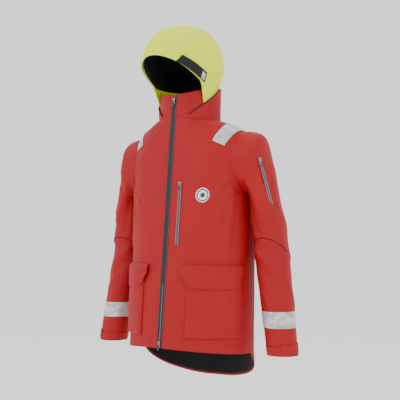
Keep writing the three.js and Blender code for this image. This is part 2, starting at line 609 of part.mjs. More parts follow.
const BAND_CLEARANCE = 2;
const SHOULDER_LEVEL_LENGTH = 230; // one step of level is about this long over the shoulder
for (const [name, side] of [['left', 1], ['right', -1]]) {
  const band = sheet(14, 2, (u, v, t) => {
    const angle = lerp(47, 133, u);
    const crest = 1.43 + 0.35 * Math.sin(Math.PI * u) ** 0.6;
    const level = crest + (v - 0.5) * SHOULDER_BAND_WIDTH / SHOULDER_LEVEL_LENGTH;
    return bodyPoint(side * angle, level, BAND_CLEARANCE + TRIM * t);
  });
  const trimmed = cutAway(band, armholeBarrel(side, ARMHOLE_RADIUS + 0.1));
  add(name + '_shoulder_band', largestPiece(trimmed), reflective());
}

// ---- Front zip --------------------------------------------------------------------------------------------

// In the zip's own group, Z runs up the zip, -Y faces out and X is the wearer's left.
const zipUp = ZIP_TOP.clone().sub(ZIP_BOTTOM).normalize();
const zipAcross = new THREE.Vector3(0, 1, 0).cross(zipUp).normalize();
const zipInward = zipUp.clone().cross(zipAcross);
const zipTurn = new THREE.Quaternion().setFromRotationMatrix(
  new THREE.Matrix4().makeBasis(zipAcross, zipInward, zipUp));
const frontZip = new THREE.Group();
frontZip.position.copy(ZIP_BOTTOM);
frontZip.quaternion.copy(zipTurn);
part.add(frontZip);

function box(width, depth, height, x, y, z) {
  return new THREE.BoxGeometry(width, depth, height).translate(x, y, z);
}

const TAPE_THICKNESS = 1.2;
const ZIP_SINK = 0.8; // the tape lies this far behind the panels' faces
for (const [name, side] of [['left', 1], ['right', -1]]) {
  const width = ZIP_HALF_WIDTH - GAP / 2;
  add(name + '_zip_tape', box(width, TAPE_THICKNESS, ZIP_LENGTH - 4,
    side * (width + GAP) / 2, ZIP_SINK, ZIP_LENGTH / 2), zipTape(), frontZip);
}

const STORM_FLAP_HALF_WIDTH = 29;
const STORM_FLAP_DEPTH = 5.3; // behind the tape
add('inner_storm_flap', box(2 * STORM_FLAP_HALF_WIDTH, CLOTH, ZIP_LENGTH - 70,
  0, ZIP_SINK + TAPE_THICKNESS + STORM_FLAP_DEPTH, ZIP_LENGTH / 2 - 30), redShell(), frontZip);

const SLIDER_Y = ZIP_SINK - TAPE_THICKNESS / 2 - GAP - SLIDER_HEIGHT / 2;
const SLIDER_TOP_Z = ZIP_LENGTH - 22;
const SLIDER_BOTTOM_Z = 12;

// A slider's body with a crown that its pull hangs from; the pull's eye goes round the crown with a running gap.
function sliderBody() {
  const crownWidth = 2.4;
  const base = toSolid(box(SLIDER_WIDTH, SLIDER_HEIGHT, SLIDER_LENGTH, 0, 0, 0));
  const crown = toSolid(box(crownWidth, 4, 5, 0, -SLIDER_HEIGHT / 2 - 1.9, 3));
  return toGeometry(base.add(crown));
}

function pullTab(length) {
  const eye = 3.4;
  const shape = new THREE.Shape();
  shape.moveTo(-PULL_WIDTH / 2, -length);
  shape.lineTo(PULL_WIDTH / 2, -length);
  shape.lineTo(PULL_WIDTH / 2, 0);
  shape.lineTo(eye / 2, 0);
  shape.lineTo(eye / 2, -7.2);
  shape.lineTo(-eye / 2, -7.2);
  shape.lineTo(-eye / 2, 0);
  shape.lineTo(-PULL_WIDTH / 2, 0);
  const tab = new THREE.ExtrudeGeometry(shape, { depth: PULL_THICKNESS, bevelEnabled: false });
  return tab.rotateX(Math.PI / 2).translate(0, PULL_THICKNESS / 2, 0);
}

function slider(name, group, x, y, z, length) {
  add(name + '_slider', sliderBody(), dieCast(), group).position.set(x, y, z);
  const pull = add(name + '_pull', pullTab(length), dieCast(), group);
  pull.position.set(x, y - SLIDER_HEIGHT / 2 - GAP - PULL_THICKNESS / 2, z + 6);
}

slider('main', frontZip, 0, SLIDER_Y, SLIDER_TOP_Z, PULL_LENGTH);
slider('bottom', frontZip, 0, SLIDER_Y, SLIDER_BOTTOM_Z, PULL_LENGTH);
add('zip_garage', box(16, 1.4, 9, 0, ZIP_SINK - TAPE_THICKNESS / 2 - GAP - 0.7, ZIP_LENGTH - 6), redShell(), frontZip);

// ---- Chest pocket -----------------------------------------------------------------------------------------

// A group for a straight zip between two points: Z runs up it, -Y faces out and X lies across it.
function zipGroup(top, bottom, outward) {
  const up = top.clone().sub(bottom).normalize();
  const across = outward.clone().cross(up).negate().normalize();
  const inward = up.clone().cross(across);
  const group = new THREE.Group();
  group.position.copy(top).lerp(bottom, 0.5);
  group.quaternion.setFromRotationMatrix(new THREE.Matrix4().makeBasis(across, inward, up));
  part.add(group);
  return group;
}

function pocketZip(name, top, bottom, outward) {
  const group = zipGroup(top, bottom, outward);
  const length = top.distanceTo(bottom);
  add(name + '_pocket_zip_tape', box(8, TAPE_THICKNESS, length, 0, -TAPE_THICKNESS / 2, 0), zipTape(), group);
  const sliderY = -TAPE_THICKNESS - GAP - SLIDER_HEIGHT / 2;
  slider(name, group, 0, sliderY, length / 2 - SLIDER_LENGTH / 2 - 2, PULL_LENGTH - 4);
}

const chestZipAngle = THREE.MathUtils.radToDeg(Math.asin((POCKET_ZIP_OFFSET / CHEST_HALF_WIDTH) ** 1.15));
const onChest = (height, out) => bodyPoint(chestZipAngle, levelAt(chestZipAngle, height), out);
const CHEST_ZIP_CLEARANCE = 0.6;
pocketZip('chest', onChest(POCKET_ZIP_TOP, CHEST_ZIP_CLEARANCE),
  onChest(POCKET_ZIP_TOP - POCKET_ZIP_LENGTH, CHEST_ZIP_CLEARANCE),
  onChest(POCKET_ZIP_TOP, 10).sub(onChest(POCKET_ZIP_TOP, 0)));

const levelsBetween = (angle, low, high, v) => lerp(levelAt(angle, low), levelAt(angle, high), v);
add('chest_pocket_bag', sheet(6, 4, (u, v, t) => {
  const angle = lerp(23, 50, u);
  return bodyPoint(angle, levelsBetween(angle, -415, -205, v), LINING_OUT - MESH_THICKNESS - GAP - 1 - LINING * (1 - t));
}), blackLining());

const BADGE_CLEARANCE = 0.6;
add('badge', keepInside(
  bodyPatch(BADGE_ANGLE - 10, BADGE_ANGLE + 10, 0.8, 1, 6, 1, BADGE_CLEARANCE, BADGE_CLEARANCE + TRIM),
  new THREE.CylinderGeometry(BADGE_RADIUS, BADGE_RADIUS, 200, 32)
    .translate(bodyPoint(BADGE_ANGLE, levelAt(BADGE_ANGLE, BADGE_HEIGHT)).x, BODY_Y - 120, BADGE_HEIGHT)), cloth(0xf2f2ee));

// ---- Cargo pockets ----------------------------------------------------------------------------------------

for (const [name, side] of [['left', 1], ['right', -1]]) {
  add(name + '_cargo_pocket', sheet(9, 4, (u, v, t) => {
    const angle = lerp(FLAP_START_ANGLE + 7, FLAP_END_ANGLE - 2, u);
    const level = levelsBetween(angle, POCKET_BOTTOM, FLAP_TOP - 6, v);
    return bodyPoint(side * angle, level, lerp(POCKET_CLEARANCE, POCKET_THICKNESS, t));
  }), redShell());
  add(name + '_pocket_flap', sheet(9, 2, (u, v, t) => {
    const inset = (1 - v) * 6;
    const angle = lerp(FLAP_START_ANGLE + inset, FLAP_END_ANGLE - inset, u);
    const level = levelsBetween(angle, FLAP_TOP - FLAP_HEIGHT, FLAP_TOP, v);
    return bodyPoint(side * angle, level, POCKET_THICKNESS + POCKET_CLEARANCE + CLOTH * t);
  }), redShell());
}

// ---- Pocket on the left upper sleeve ----------------------------------------------------------------------

// Its zip runs down the outer front of the sleeve, between two points on the sleeve's surface.
const SLEEVE_ZIP_CLEARANCE = 1.5; // the sleeve is rounded under the straight zip
const onSleeve = (degrees, v, out) => upperSleevePoint(1, rad(degrees), v, out);
const sleeveZipTop = onSleeve(42, 0.42, SLEEVE_ZIP_CLEARANCE);
const sleeveZipBottom = onSleeve(33, 0.78, SLEEVE_ZIP_CLEARANCE);
const roundSleeve = onSleeve(45, 0.6, 0).sub(onSleeve(30, 0.6, 0));
const downSleeve = onSleeve(37, 0.7, 0).sub(onSleeve(37, 0.5, 0));
pocketZip('sleeve', sleeveZipTop, sleeveZipBottom, roundSleeve.cross(downSleeve));

export default part;
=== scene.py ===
# %% [markdown]
# # Foul weather jacket
#
# The looks of a sailing jacket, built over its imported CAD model. Lengths are in millimetres until they
# become a mesh, which is in metres. +Z is up, the front faces -Y and the wearer's left is +X.

import math

import bpy
import numpy as np
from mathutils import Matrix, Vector


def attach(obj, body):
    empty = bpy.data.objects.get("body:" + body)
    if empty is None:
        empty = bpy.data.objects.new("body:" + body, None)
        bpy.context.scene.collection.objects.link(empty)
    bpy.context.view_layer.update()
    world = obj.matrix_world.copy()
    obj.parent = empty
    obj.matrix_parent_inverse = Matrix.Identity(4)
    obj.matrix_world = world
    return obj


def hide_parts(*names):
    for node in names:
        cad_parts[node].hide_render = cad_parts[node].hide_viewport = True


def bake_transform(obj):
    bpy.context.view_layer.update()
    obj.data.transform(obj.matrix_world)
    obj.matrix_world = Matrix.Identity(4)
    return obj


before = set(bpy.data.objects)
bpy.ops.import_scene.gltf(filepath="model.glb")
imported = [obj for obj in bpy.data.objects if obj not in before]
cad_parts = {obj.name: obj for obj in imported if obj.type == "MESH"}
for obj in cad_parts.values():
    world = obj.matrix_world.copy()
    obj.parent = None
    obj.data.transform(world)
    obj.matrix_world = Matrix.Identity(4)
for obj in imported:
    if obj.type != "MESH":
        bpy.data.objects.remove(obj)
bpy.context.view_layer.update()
MM = 0.001

# %% [markdown]
# ## Sizes
#
# They repeat the driving sizes of the CAD model, so that each cloth piece lies where its solid does.

# %% Sizes
CLOTH = 1.6
BODY_Y = -46.0
NECK_Y = -71.0
ZIP_TOP = np.array([0.0, -160.0, 68.0])
ZIP_BOTTOM = np.array([-25.0, -211.0, -735.0])
CHEST_HEIGHT = -200.0
HEM_FRONT_HEIGHT = -735.0
HEM_SIDE_DROP = 15.0
TAIL_DROP = 106.0
CHEST_HALF_WIDTH = 213.0
HEM_HALF_WIDTH = 211.0
NECK_HALF_WIDTH = 100.0
NECK_BACK_DEPTH = 90.0
ZIP_HALF_WIDTH = 9.0
STOW_COLLAR_HEIGHT = 91.0
SLOT_START_ANGLE = 31.0
CHIN_GUARD_END_ANGLE = 58.0
HOOD_Y = -69.0
HOOD_BASE = 91.6
ELBOW = np.array([276.0, -28.0, -430.0])
CUFF_END_HEIGHT = -745.0
ARMHOLE_X = 200
ARMHOLE_HEIGHT = -150
ARMHOLE_RADIUS = 99.4
SLEEVE_HEAD_HALF_HEIGHT = 97
SLEEVE_HEAD_HALF_DEPTH = 75
ARMHOLE_CUT = 0.74  # the square of the share of the sleeve's head that the body is cut to
ELBOW_SLANT = 35
FOREARM_BAND_TOP = -612
FOREARM_BAND_BOTTOM = -662
CUFF_SEAM = -717.0

# %% [markdown]
# ## Small sums on arrays

# %% Sums
def lerp(a, b, t):
    return a + (b - a) * t


def smooth(t):
    t = np.clip(t, 0, 1)
    return t * t * (3 - 2 * t)


def power(value, exponent):
    return np.sign(value) * np.abs(value) ** exponent


def stack(x, y, z):
    return np.stack(np.broadcast_arrays(x, y, z), axis=-1).astype(float)


def unit(vectors):
    length = np.linalg.norm(vectors, axis=-1, keepdims=True)
    return vectors / np.maximum(length, 1e-9)


# Soft uneven waves of about the given size in mm, from -1 to 1.
def ripple(x, z, size, seed):
    total = 0
    for k in range(5):
        turn = seed + 2.4 * k
        along = x * math.cos(turn) + z * math.sin(turn)
        total = total + np.sin(along * 2 * math.pi / (size * (0.7 + 0.17 * k)) + seed * k * 1.7)
    return total / 5


# Folds between two points of the cloth: each is x0, z0, x1, z1, half width and height in mm.
def folds(x, z, lines):
    total = np.zeros(np.broadcast(x, z).shape)
    for x0, z0, x1, z1, width, height in lines:
        dx, dz = x1 - x0, z1 - z0
        t = np.clip(((x - x0) * dx + (z - z0) * dz) / (dx * dx + dz * dz), 0, 1)
        away = np.hypot(x - x0 - t * dx, z - z0 - t * dz)
        total = total + height * np.exp(-(away / width) ** 2)
    return total


# %% [markdown]
# ## Turning a surface into a piece of cloth
#
# A place(u, v, out) gives points of the surface, out mm above its inner face. The piece is a closed mesh with
# two faces and an edge all round, and its UV map is in metres along the cloth.

# %% Cloth meshes
def quads_of(rows, columns, wrap):
    across = np.arange(columns)
    down = np.arange(rows)
    c, r = np.meshgrid(across, down)
    width = columns if wrap else columns + 1
    right = (c + 1) % width
    corners = [r * width + c, r * width + right, (r + 1) * width + right, (r + 1) * width + c]
    return np.stack(corners, -1).reshape(-1, 4)


def open_edges(quads, count):
    directed = np.concatenate([quads[:, [i, (i + 1) % 4]] for i in range(4)])
    key = directed[:, 0].astype(np.int64) * count + directed[:, 1]
    back = directed[:, 1].astype(np.int64) * count + directed[:, 0]
    return directed[~np.isin(back, key)]


def lengths_along(points, axis):
    step = np.linalg.norm(np.diff(points, axis=axis), axis=-1)
    total = np.cumsum(step, axis=axis)
    pad = [(0, 0), (0, 0)]
    pad[axis] = (1, 0)
    return np.pad(total, pad)


def volume_of(verts, quads):
    a, b, c, d = (verts[quads[:, i]] for i in range(4))
    halves = np.einsum("ij,ij->i", a, np.cross(b, c)) + np.einsum("ij,ij->i", a, np.cross(c, d))
    return halves.sum() / 6


def cloth_mesh(name, place, columns, rows, thick=CLOTH, wrap=False, keep=None):
    u = np.linspace(0, 1, columns + (0 if wrap else 1), endpoint=not wrap)
    v = np.linspace(0, 1, rows + 1)
    U, V = np.meshgrid(u, v)
    outer = place(U, V, thick)
    inner = place(U, V, 0.0)
    count = outer.shape[0] * outer.shape[1]
    quads = quads_of(rows, columns, wrap)
    flat_outer = outer.reshape(-1, 3)
    if keep is not None:
        quads = quads[keep(flat_outer[quads].mean(axis=1))]
    edges = open_edges(quads, count)
    sides = np.stack([edges[:, 1], edges[:, 0], edges[:, 0] + count, edges[:, 1] + count], -1)
    faces = np.concatenate([quads, quads[:, ::-1] + count, sides])
    verts = np.concatenate([flat_outer, inner.reshape(-1, 3)]) * MM
    if volume_of(verts, faces) < 0:
        faces = faces[:, ::-1]
    uv = np.stack([lengths_along(outer, 1), lengths_along(outer, 0)], -1).reshape(-1, 2) * MM
    uv = np.concatenate([uv, uv])
    mesh = bpy.data.meshes.new(name)
    mesh.from_pydata(verts.tolist(), [], faces.tolist())
    layer = mesh.uv_layers.new(name="cloth")
    loops = np.zeros(len(mesh.loops), np.int32)
    mesh.loops.foreach_get("vertex_index", loops)
    layer.data.foreach_set("uv", uv[loops].astype(np.float32).ravel())
    mesh.validate()
    piece = bpy.data.objects.new(name, mesh)
    bpy.context.scene.collection.objects.link(piece)
    for polygon in mesh.polygons:
        polygon.use_smooth = True
    return piece


def finish_piece(piece, material, body, nodes):
    piece.data.materials.clear()
    piece.data.materials.append(material)
    if body:
        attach(piece, body)
    if nodes:
        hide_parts(*nodes)
    return piece


# %% [markdown]
# ## Materials
#
# Colours are written as they look on a screen and turned to linear light once.

# %% Colour and node helpers
def colour(code):
    parts = [int(code[i:i + 2], 16) / 255 for i in (1, 3, 5)]
    linear = [p / 12.92 if p <= 0.04045 else ((p + 0.055) / 1.055) ** 2.4 for p in parts]
    return (*linear, 1.0)


def node(tree, kind, settings=None, **inputs):
    made = tree.nodes.new(kind)
    for key, value in (settings or {}).items():
        setattr(made, key, value)
    for key, value in inputs.items():
        socket = made.inputs[int(key[1:])] if key[0] == "_" else made.inputs[key.replace("_", " ")]
        if isinstance(value, bpy.types.NodeSocket):
            tree.links.new(value, socket)
        else:
            socket.default_value = value
    return made


def new_material(name):
    material = bpy.data.materials.new(name)
    material.use_nodes = True
    tree = material.node_tree
    shader = tree.nodes["Principled BSDF"]
    return material, tree, shader


# Woven cloth: threads in both directions, small creases, and a colour that varies a little.
def woven(name, light, dark, roughness=0.62, thread=0.0007, crease=0.0006, sheen=0.25):
    material, tree, shader = new_material(name)
    place = node(tree, "ShaderNodeTexCoord")
    warp = node(tree, "ShaderNodeTexWave", {"bands_direction": "X"}, Vector=place.outputs["UV"],
                Scale=1 / thread / 20)
    weft = node(tree, "ShaderNodeTexWave", {"bands_direction": "Y"}, Vector=place.outputs["UV"],
                Scale=1 / thread / 20)
    weave = node(tree, "ShaderNodeMath", {"operation": "MAXIMUM"},
                 _0=warp.outputs["Fac"], _1=weft.outputs["Fac"])
    creases = node(tree, "ShaderNodeTexNoise", Vector=place.outputs["Object"], Scale=38, Detail=3)
    shade = node(tree, "ShaderNodeTexNoise", Vector=place.outputs["Object"], Scale=7, Detail=2)
    mixed = node(tree, "ShaderNodeMix", {"data_type": "RGBA"}, Factor=shade.outputs["Fac"])
    mixed.inputs[6].default_value = colour(light)
    mixed.inputs[7].default_value = colour(dark)
    threads = node(tree, "ShaderNodeBump", Height=weave.outputs["Value"], Strength=0.12, Distance=0.0002)
    bump = node(tree, "ShaderNodeBump", Height=creases.outputs["Fac"], Strength=0.5, Distance=crease,
                Normal=threads.outputs["Normal"])
    tree.links.new(mixed.outputs[2], shader.inputs["Base Color"])
    tree.links.new(bump.outputs["Normal"], shader.inputs["Normal"])
    shader.inputs["Roughness"].default_value = roughness
    shader.inputs["Sheen Weight"].default_value = sheen
    shader.inputs["Sheen Roughness"].default_value = 0.5
    shader.inputs["Specular IOR Level"].default_value = 0.3
    return material


red_shell = woven("red_shell", "#a2020d", "#94010a", roughness=0.6, sheen=0.0)
yellow_shell = woven("yellow_shell", "#d6e800", "#cade00", roughness=0.62, sheen=0.0)
black_lining = woven("black_lining", "#0d0e10", "#08090a", roughness=0.85, thread=0.0012, sheen=0.05)
grey_mesh = woven("grey_mesh", "#2d3133", "#25292b", roughness=0.85, thread=0.0016, sheen=0.05)
yellow_shader = yellow_shell.node_tree.nodes["Principled BSDF"]
# painted glow: a faint yellow emission makes the hood cloth brighter, though the cloth is no lamp
yellow_shader.inputs["Emission Color"].default_value = colour("#d8f000")
yellow_shader.inputs["Emission Strength"].default_value = 0.15
binding = woven("binding", "#17171b", "#101013", roughness=0.7, thread=0.0009, sheen=0.05)


# Retro-reflective film: pale silver squares between fine dark lines. The same material also paints a glint on each
# hood tab.
def reflective_tape():
    material, tree, shader = new_material("reflective_tape")
    place = node(tree, "ShaderNodeTexCoord")
    cells = node(tree, "ShaderNodeTexVoronoi", {"feature": "DISTANCE_TO_EDGE"},
                 Vector=place.outputs["UV"], Scale=170)
    edge = node(tree, "ShaderNodeMath", {"operation": "GREATER_THAN"}, _0=cells.outputs["Distance"], _1=0.06)
    patches = node(tree, "ShaderNodeTexNoise", Vector=place.outputs["UV"], Scale=55, Detail=3)
    ramp = node(tree, "ShaderNodeValToRGB", Fac=patches.outputs["Fac"])
    ramp.color_ramp.elements[0].position = 0.35
    ramp.color_ramp.elements[0].color = colour("#9a9f9f")
    ramp.color_ramp.elements[1].position = 0.68
    ramp.color_ramp.elements[1].color = colour("#e6e9e6")
    mixed = node(tree, "ShaderNodeMix", {"data_type": "RGBA"}, _0=edge.outputs["Value"])
    mixed.inputs[6].default_value = colour("#a9adad")
    tree.links.new(ramp.outputs["Color"], mixed.inputs[7])
    tree.links.new(mixed.outputs[2], shader.inputs["Base Color"])
    shader.inputs["Roughness"].default_value = 0.4
    shader.inputs["Metallic"].default_value = 0.25
    return material


def plain(name, code, roughness, metallic=0.0):
    material, tree, shader = new_material(name)
    shader.inputs["Base Color"].default_value = colour(code)
    shader.inputs["Roughness"].default_value = roughness
    shader.inputs["Metallic"].default_value = metallic
    return material


silver_tape_and_painted_glint = reflective_tape()
zip_tape = plain("zip_tape", "#15161b", 0.55)
zip_teeth_and_painted_reflection = plain("zip_teeth_and_painted_reflection", "#7d8288", 0.4, 0.5)
dark_teeth = plain("dark_teeth", "#1b1c20", 0.5)
dark_piping = plain("dark_piping", "#4a4c52", 0.6)
grey_piping = plain("grey_piping", "#868a90", 0.55)
die_cast = plain("zip_metal", "#8b9096", 0.35, 0.85)
pull_rubber = plain("pull_rubber", "#3b3e43", 0.6)
badge_cream = plain("badge_cream", "#ecece6", 0.8)
badge_dark = plain("badge_dark", "#3a4044", 0.8)
print("materials", len(bpy.data.materials))

# %% [markdown]
# ## The body's surface
#
# Angles go round the body from the front centre, 0, to the wearer's left side seam, 90, and the back, 180.
# The level is 0 at the hem, 1 at the chest and 2 at the neck seam.

# %% Body surface
def zip_point(height):
    t = (ZIP_TOP[2] - height) / (ZIP_TOP[2] - ZIP_BOTTOM[2])
    return lerp(ZIP_TOP[0], ZIP_BOTTOM[0], t), lerp(ZIP_TOP[1], ZIP_BOTTOM[1], t)


def hem_height(angle):
    turned = np.abs(angle)
    turned = np.where(turned > 180, 360 - turned, turned)
    front = HEM_FRONT_HEIGHT - HEM_SIDE_DROP * np.sin(np.radians(turned)) ** 2
    behind = np.sin(np.radians(np.clip(turned - 90, 0, 90))) ** 0.7
    back = HEM_FRONT_HEIGHT - HEM_SIDE_DROP - TAIL_DROP * behind
    return np.where(turned <= 90, front, back)


def below_chest(angle, level):
    a = np.radians(angle)
    front = np.cos(a) >= 0
    z = lerp(hem_height(angle), CHEST_HEIGHT, level)
    half_width = lerp(HEM_HALF_WIDTH, CHEST_HALF_WIDTH, level)
    zip_x, zip_y = zip_point(z)
    depth = np.where(front, BODY_Y - zip_y, lerp(119.0, 122.0, level))
    lean = np.where(front, zip_x * np.cos(a) ** 2, 0)
    return stack(half_width * power(np.sin(a), 2 / 2.3) + lean,
                 BODY_Y - depth * power(np.cos(a), 2 / 2.3), z)


def over_yoke(angle, level):
    a = np.radians(angle)
    front = np.cos(a) >= 0
    w = np.clip(level - 1, 0, 1)
    turn = w * math.pi / 2
    cosine = np.clip(np.cos(turn), 0, 1)
    sine = np.clip(np.sin(turn), 0, 1)
    inset = 1 - cosine ** (2 / 4.5)
    half_width = lerp(CHEST_HALF_WIDTH, NECK_HALF_WIDTH, inset)
    slope = (half_width - NECK_HALF_WIDTH) / (CHEST_HALF_WIDTH - NECK_HALF_WIDTH)
    side_z = lerp(CHEST_HEIGHT, lerp(-12.0, -48.0, slope), sine ** (2 / 4.5))
    side_y = lerp(BODY_Y, NECK_Y, inset)
    front_z = lerp(CHEST_HEIGHT, -6.0, w)
    zip_x, zip_y = zip_point(front_z)
    back_z = lerp(CHEST_HEIGHT, -2.0, sine ** (2 / 2.4))
    back_y = lerp(BODY_Y + 122, NECK_Y + NECK_BACK_DEPTH, 1 - cosine ** (2 / 2.4))
    forward = np.abs(np.cos(a)) ** (2 / lerp(2.3, 2.0, w))
    end_y = np.where(front, zip_y, back_y)
    lean = np.where(front, zip_x * np.cos(a) ** 2, 0)
    return stack(half_width * power(np.sin(a), 2 / lerp(2.3, 2.0, w)) + lean,
                 side_y + (end_y - side_y) * forward,
                 lerp(side_z, np.where(front, front_z, back_z), np.cos(a) ** 2))


def ring(angle, level):
    angle, level = np.broadcast_arrays(np.asarray(angle, float), np.asarray(level, float))
    return np.where((level <= 1)[..., None], below_chest(angle, level), over_yoke(angle, level))


def body_normal(angle, level):
    around = ring(angle + 1, level) - ring(angle - 1, level)
    up = ring(angle, np.minimum(level + 0.02, 2)) - ring(angle, np.maximum(level - 0.02, 0))
    return unit(np.cross(around, up))


# The soft shape that the worn cloth takes, in mm out from the plain surface.
def body_relief(angle, level):
    at = ring(angle, level)
    turned = np.where(angle > 180, angle - 360, angle)
    x, z = turned * 3.3, at[..., 2]
    calm = smooth((np.abs(turned) - 3) / 14)
    swell = 2.2 * ripple(x, z * 0.6, 210, 1.3) + 0.9 * ripple(x, z, 85, 4.1)
    drape = 2.4 * np.sin(x / 42 + 0.7 * np.sin(z / 130)) * smooth((-z - 380) / 330)
    side = np.sign(turned)
    near = side * x
    pulls = folds(near, z, [
        (180, -215, 120, -275, 10, 3.0), (195, -235, 150, -330, 12, 3.4), (205, -250, 190, -400, 14, 3.0),
        (120, -120, 205, -185, 12, 2.6), (60, -40, 118, -92, 7, 2.4),
    ])
    return calm * (swell + drape + pulls)


def body(angle, level, out):
    angle, level = np.broadcast_arrays(np.asarray(angle, float), np.asarray(level, float))
    relief = body_relief(angle, level)
    return ring(angle, level) + body_normal(angle, level) * (out + relief)[..., None]


def level_at(angle, height):
    return (height - hem_height(angle)) / (CHEST_HEIGHT - hem_height(angle))


def front_edge(level):
    half_width = np.where(level <= 1, CHEST_HALF_WIDTH, ring(90.0, np.maximum(level, 1))[..., 0])
    roundness = np.where(level <= 1, 2 / 2.3, 2 / lerp(2.3, 2.0, np.clip(level - 1, 0, 1)))
    return np.degrees(np.arcsin(((ZIP_HALF_WIDTH + 0.3) / half_width) ** (1 / roundness)))


# %% [markdown]
# ## Body panels
#
# The sleeve comes out of the body's side, so the panels stop inside it.

# %% Body panels
def outside_armhole(points):
    away = np.hypot(np.abs(points[:, 0]) - ARMHOLE_X, points[:, 2] - ARMHOLE_HEIGHT)
    deep = points[:, 1] - BODY_Y
    return (away / SLEEVE_HEAD_HALF_HEIGHT) ** 2 + (deep / SLEEVE_HEAD_HALF_DEPTH) ** 2 > ARMHOLE_CUT


def panel_level(v):
    return np.where(v < 0.66, v / 0.66, 1 + (v - 0.66) / 0.34)


def hem_step(level, angle):
    above = level * (CHEST_HEIGHT - hem_height(angle))
    return 0.7 * smooth((26 - above) / 2.5) - 0.9 * np.exp(-((above - 27) / 2.0) ** 2)


def front_panel(side):
    def place(u, v, out):
        level = panel_level(v)
        angle = lerp(front_edge(level), 90.0, u)
        relief = hem_step(level, angle) * (np.asarray(out) > 0)
        return body(side * angle, level, out - CLOTH + relief)
    return place


def back_place(u, v, out):
    level = panel_level(v)
    angle = lerp(90.0, 270.0, u)
    relief = hem_step(level, angle) * (np.asarray(out) > 0)
    return body(angle, level, out - CLOTH + relief)


for name, side in (("left", 1), ("right", -1)):
    piece = cloth_mesh(name + "_front_panel_cloth", front_panel(side), 90, 210, keep=outside_armhole)
    finish_piece(piece, red_shell, "jacket", [name + "_front_panel"])
piece = cloth_mesh("back_panel_cloth", back_place, 170, 210, keep=outside_armhole)
finish_piece(piece, red_shell, "jacket", ["back_panel"])

# %% [markdown]
# ## Inside of the body

# %% Lining and facing
def inside_body(low, high, depth, thick):
    def place(u, v, out):
        first, last = low[0], high[0]
        angle = lerp(first, last, u)
        level = lerp(low[1], high[1], v)
        return body(angle, level, -CLOTH - depth - thick + out)
    return place


piece = cloth_mesh("tail_facing_cloth", inside_body((90, 0.01), (270, 0.2), 1.5, 1.0), 90, 20, thick=1.0)
finish_piece(piece, black_lining, "jacket", ["tail_facing"])
piece = cloth_mesh("mesh_lining_cloth", inside_body((18, 0.2), (342, 1.0), 1.5, 1.0), 170, 60, thick=1.0,
                   keep=outside_armhole)
finish_piece(piece, grey_mesh, "jacket", ["mesh_lining"])

# %% [markdown]
# ## Collar
#
# Red chin guards stand in front of the mouth. The wrap that holds the stowed hood starts as a pointed slot
# beside them, rises to the nape and is bound in black.

# %% Collar surface
def neck_seam(angle):
    a = np.radians(angle)
    end = np.where(np.cos(a) >= 0, -6.0, -2.0)
    return lerp(-12.0, end, np.cos(a) ** 2)


def collar(angle, height, out):
    a = np.radians(angle)
    front = np.cos(a) >= 0
    zip_x, zip_y = zip_point(height)
    depth = np.where(front, NECK_Y - zip_y, NECK_BACK_DEPTH)
    soft = 0.8 * ripple(angle * 1.7, height, 70, 2.2) * smooth((90 - np.asarray(height)) / 30)
    reach = out + soft
    return stack((NECK_HALF_WIDTH + reach) * np.sin(a) + np.where(front, zip_x * np.cos(a) ** 2, 0),
                 NECK_Y - (depth + reach) * np.cos(a), height)


FRONT_ANGLE = math.degrees(math.asin((ZIP_HALF_WIDTH + 0.3) / NECK_HALF_WIDTH))


def chin_guard(side):
    def place(u, v, out):
        angle = lerp(FRONT_ANGLE, CHIN_GUARD_END_ANGLE + 6, u)
        past = np.clip((angle - SLOT_START_ANGLE) / (CHIN_GUARD_END_ANGLE - SLOT_START_ANGLE), 0, 1)
        bottom = neck_seam(angle) - 3 * (past <= 0) + 22 * past
        top = lerp(68.0, 85.0, np.clip(angle / CHIN_GUARD_END_ANGLE, 0, 1) ** 2)
        height = lerp(bottom, top, v)
        lip = 0.8 * np.exp(-((top - height) / 3.0) ** 2) * (np.asarray(out) > 0)
        return collar(side * angle, height, out - CLOTH + lip)
    return place


def stow_top(turned):
    rise = np.clip((turned - SLOT_START_ANGLE) / (100 - SLOT_START_ANGLE), 0, 1)
    return lerp(neck_seam(turned) + 10, STOW_COLLAR_HEIGHT, rise ** 0.92)


def stow_collar(u, v, out):
    angle = lerp(SLOT_START_ANGLE - 22, 360 - SLOT_START_ANGLE + 22, u)
    turned = np.minimum(angle, 360 - angle)
    merged = smooth((SLOT_START_ANGLE + 2 - turned) / 16)
    bottom = neck_seam(turned) - 3
    height = lerp(bottom, stow_top(np.maximum(turned, SLOT_START_ANGLE)), v)
    stand = lerp(1.3 + 2.2 * smooth((turned - 34) / 30) * v, 0.25, merged)
    return collar(angle, height, stand + out * lerp(1.0, 0.2, merged))


def edge_tube(name, points, radius, material, closed=False):
    curve = bpy.data.curves.new(name, "CURVE")
    curve.dimensions = "3D"
    curve.bevel_depth = radius * MM
    curve.bevel_resolution = 2
    spline = curve.splines.new("POLY")
    spline.points.add(len(points) - 1)
    for spot, point in zip(spline.points, points):
        spot.co = (*(np.asarray(point) * MM), 1)
    spline.use_cyclic_u = closed
    curve.use_fill_caps = True
    made = bpy.data.objects.new(name, curve)
    bpy.context.scene.collection.objects.link(made)
    curve.materials.append(material)
    return made


# %% Collar pieces
for name, side in (("left", 1), ("right", -1)):
    piece = cloth_mesh(name + "_chin_guard_cloth", chin_guard(side), 40, 40)
    finish_piece(piece, red_shell, "jacket", [name + "_chin_guard"])
piece = cloth_mesh("hood_stow_collar_cloth", stow_collar, 160, 30)
finish_piece(piece, red_shell, "jacket", ["hood_stow_collar"])
around = np.linspace(SLOT_START_ANGLE - 1, 360 - SLOT_START_ANGLE + 1, 120)
turned = np.minimum(around, 360 - around)
stand = 1.3 + 2.2 * smooth((turned - 34) / 30) + 1.2
rim = edge_tube("stow_collar_binding", collar(around, stow_top(turned) - 0.5, stand), 1.9, binding)
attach(rim, "jacket")


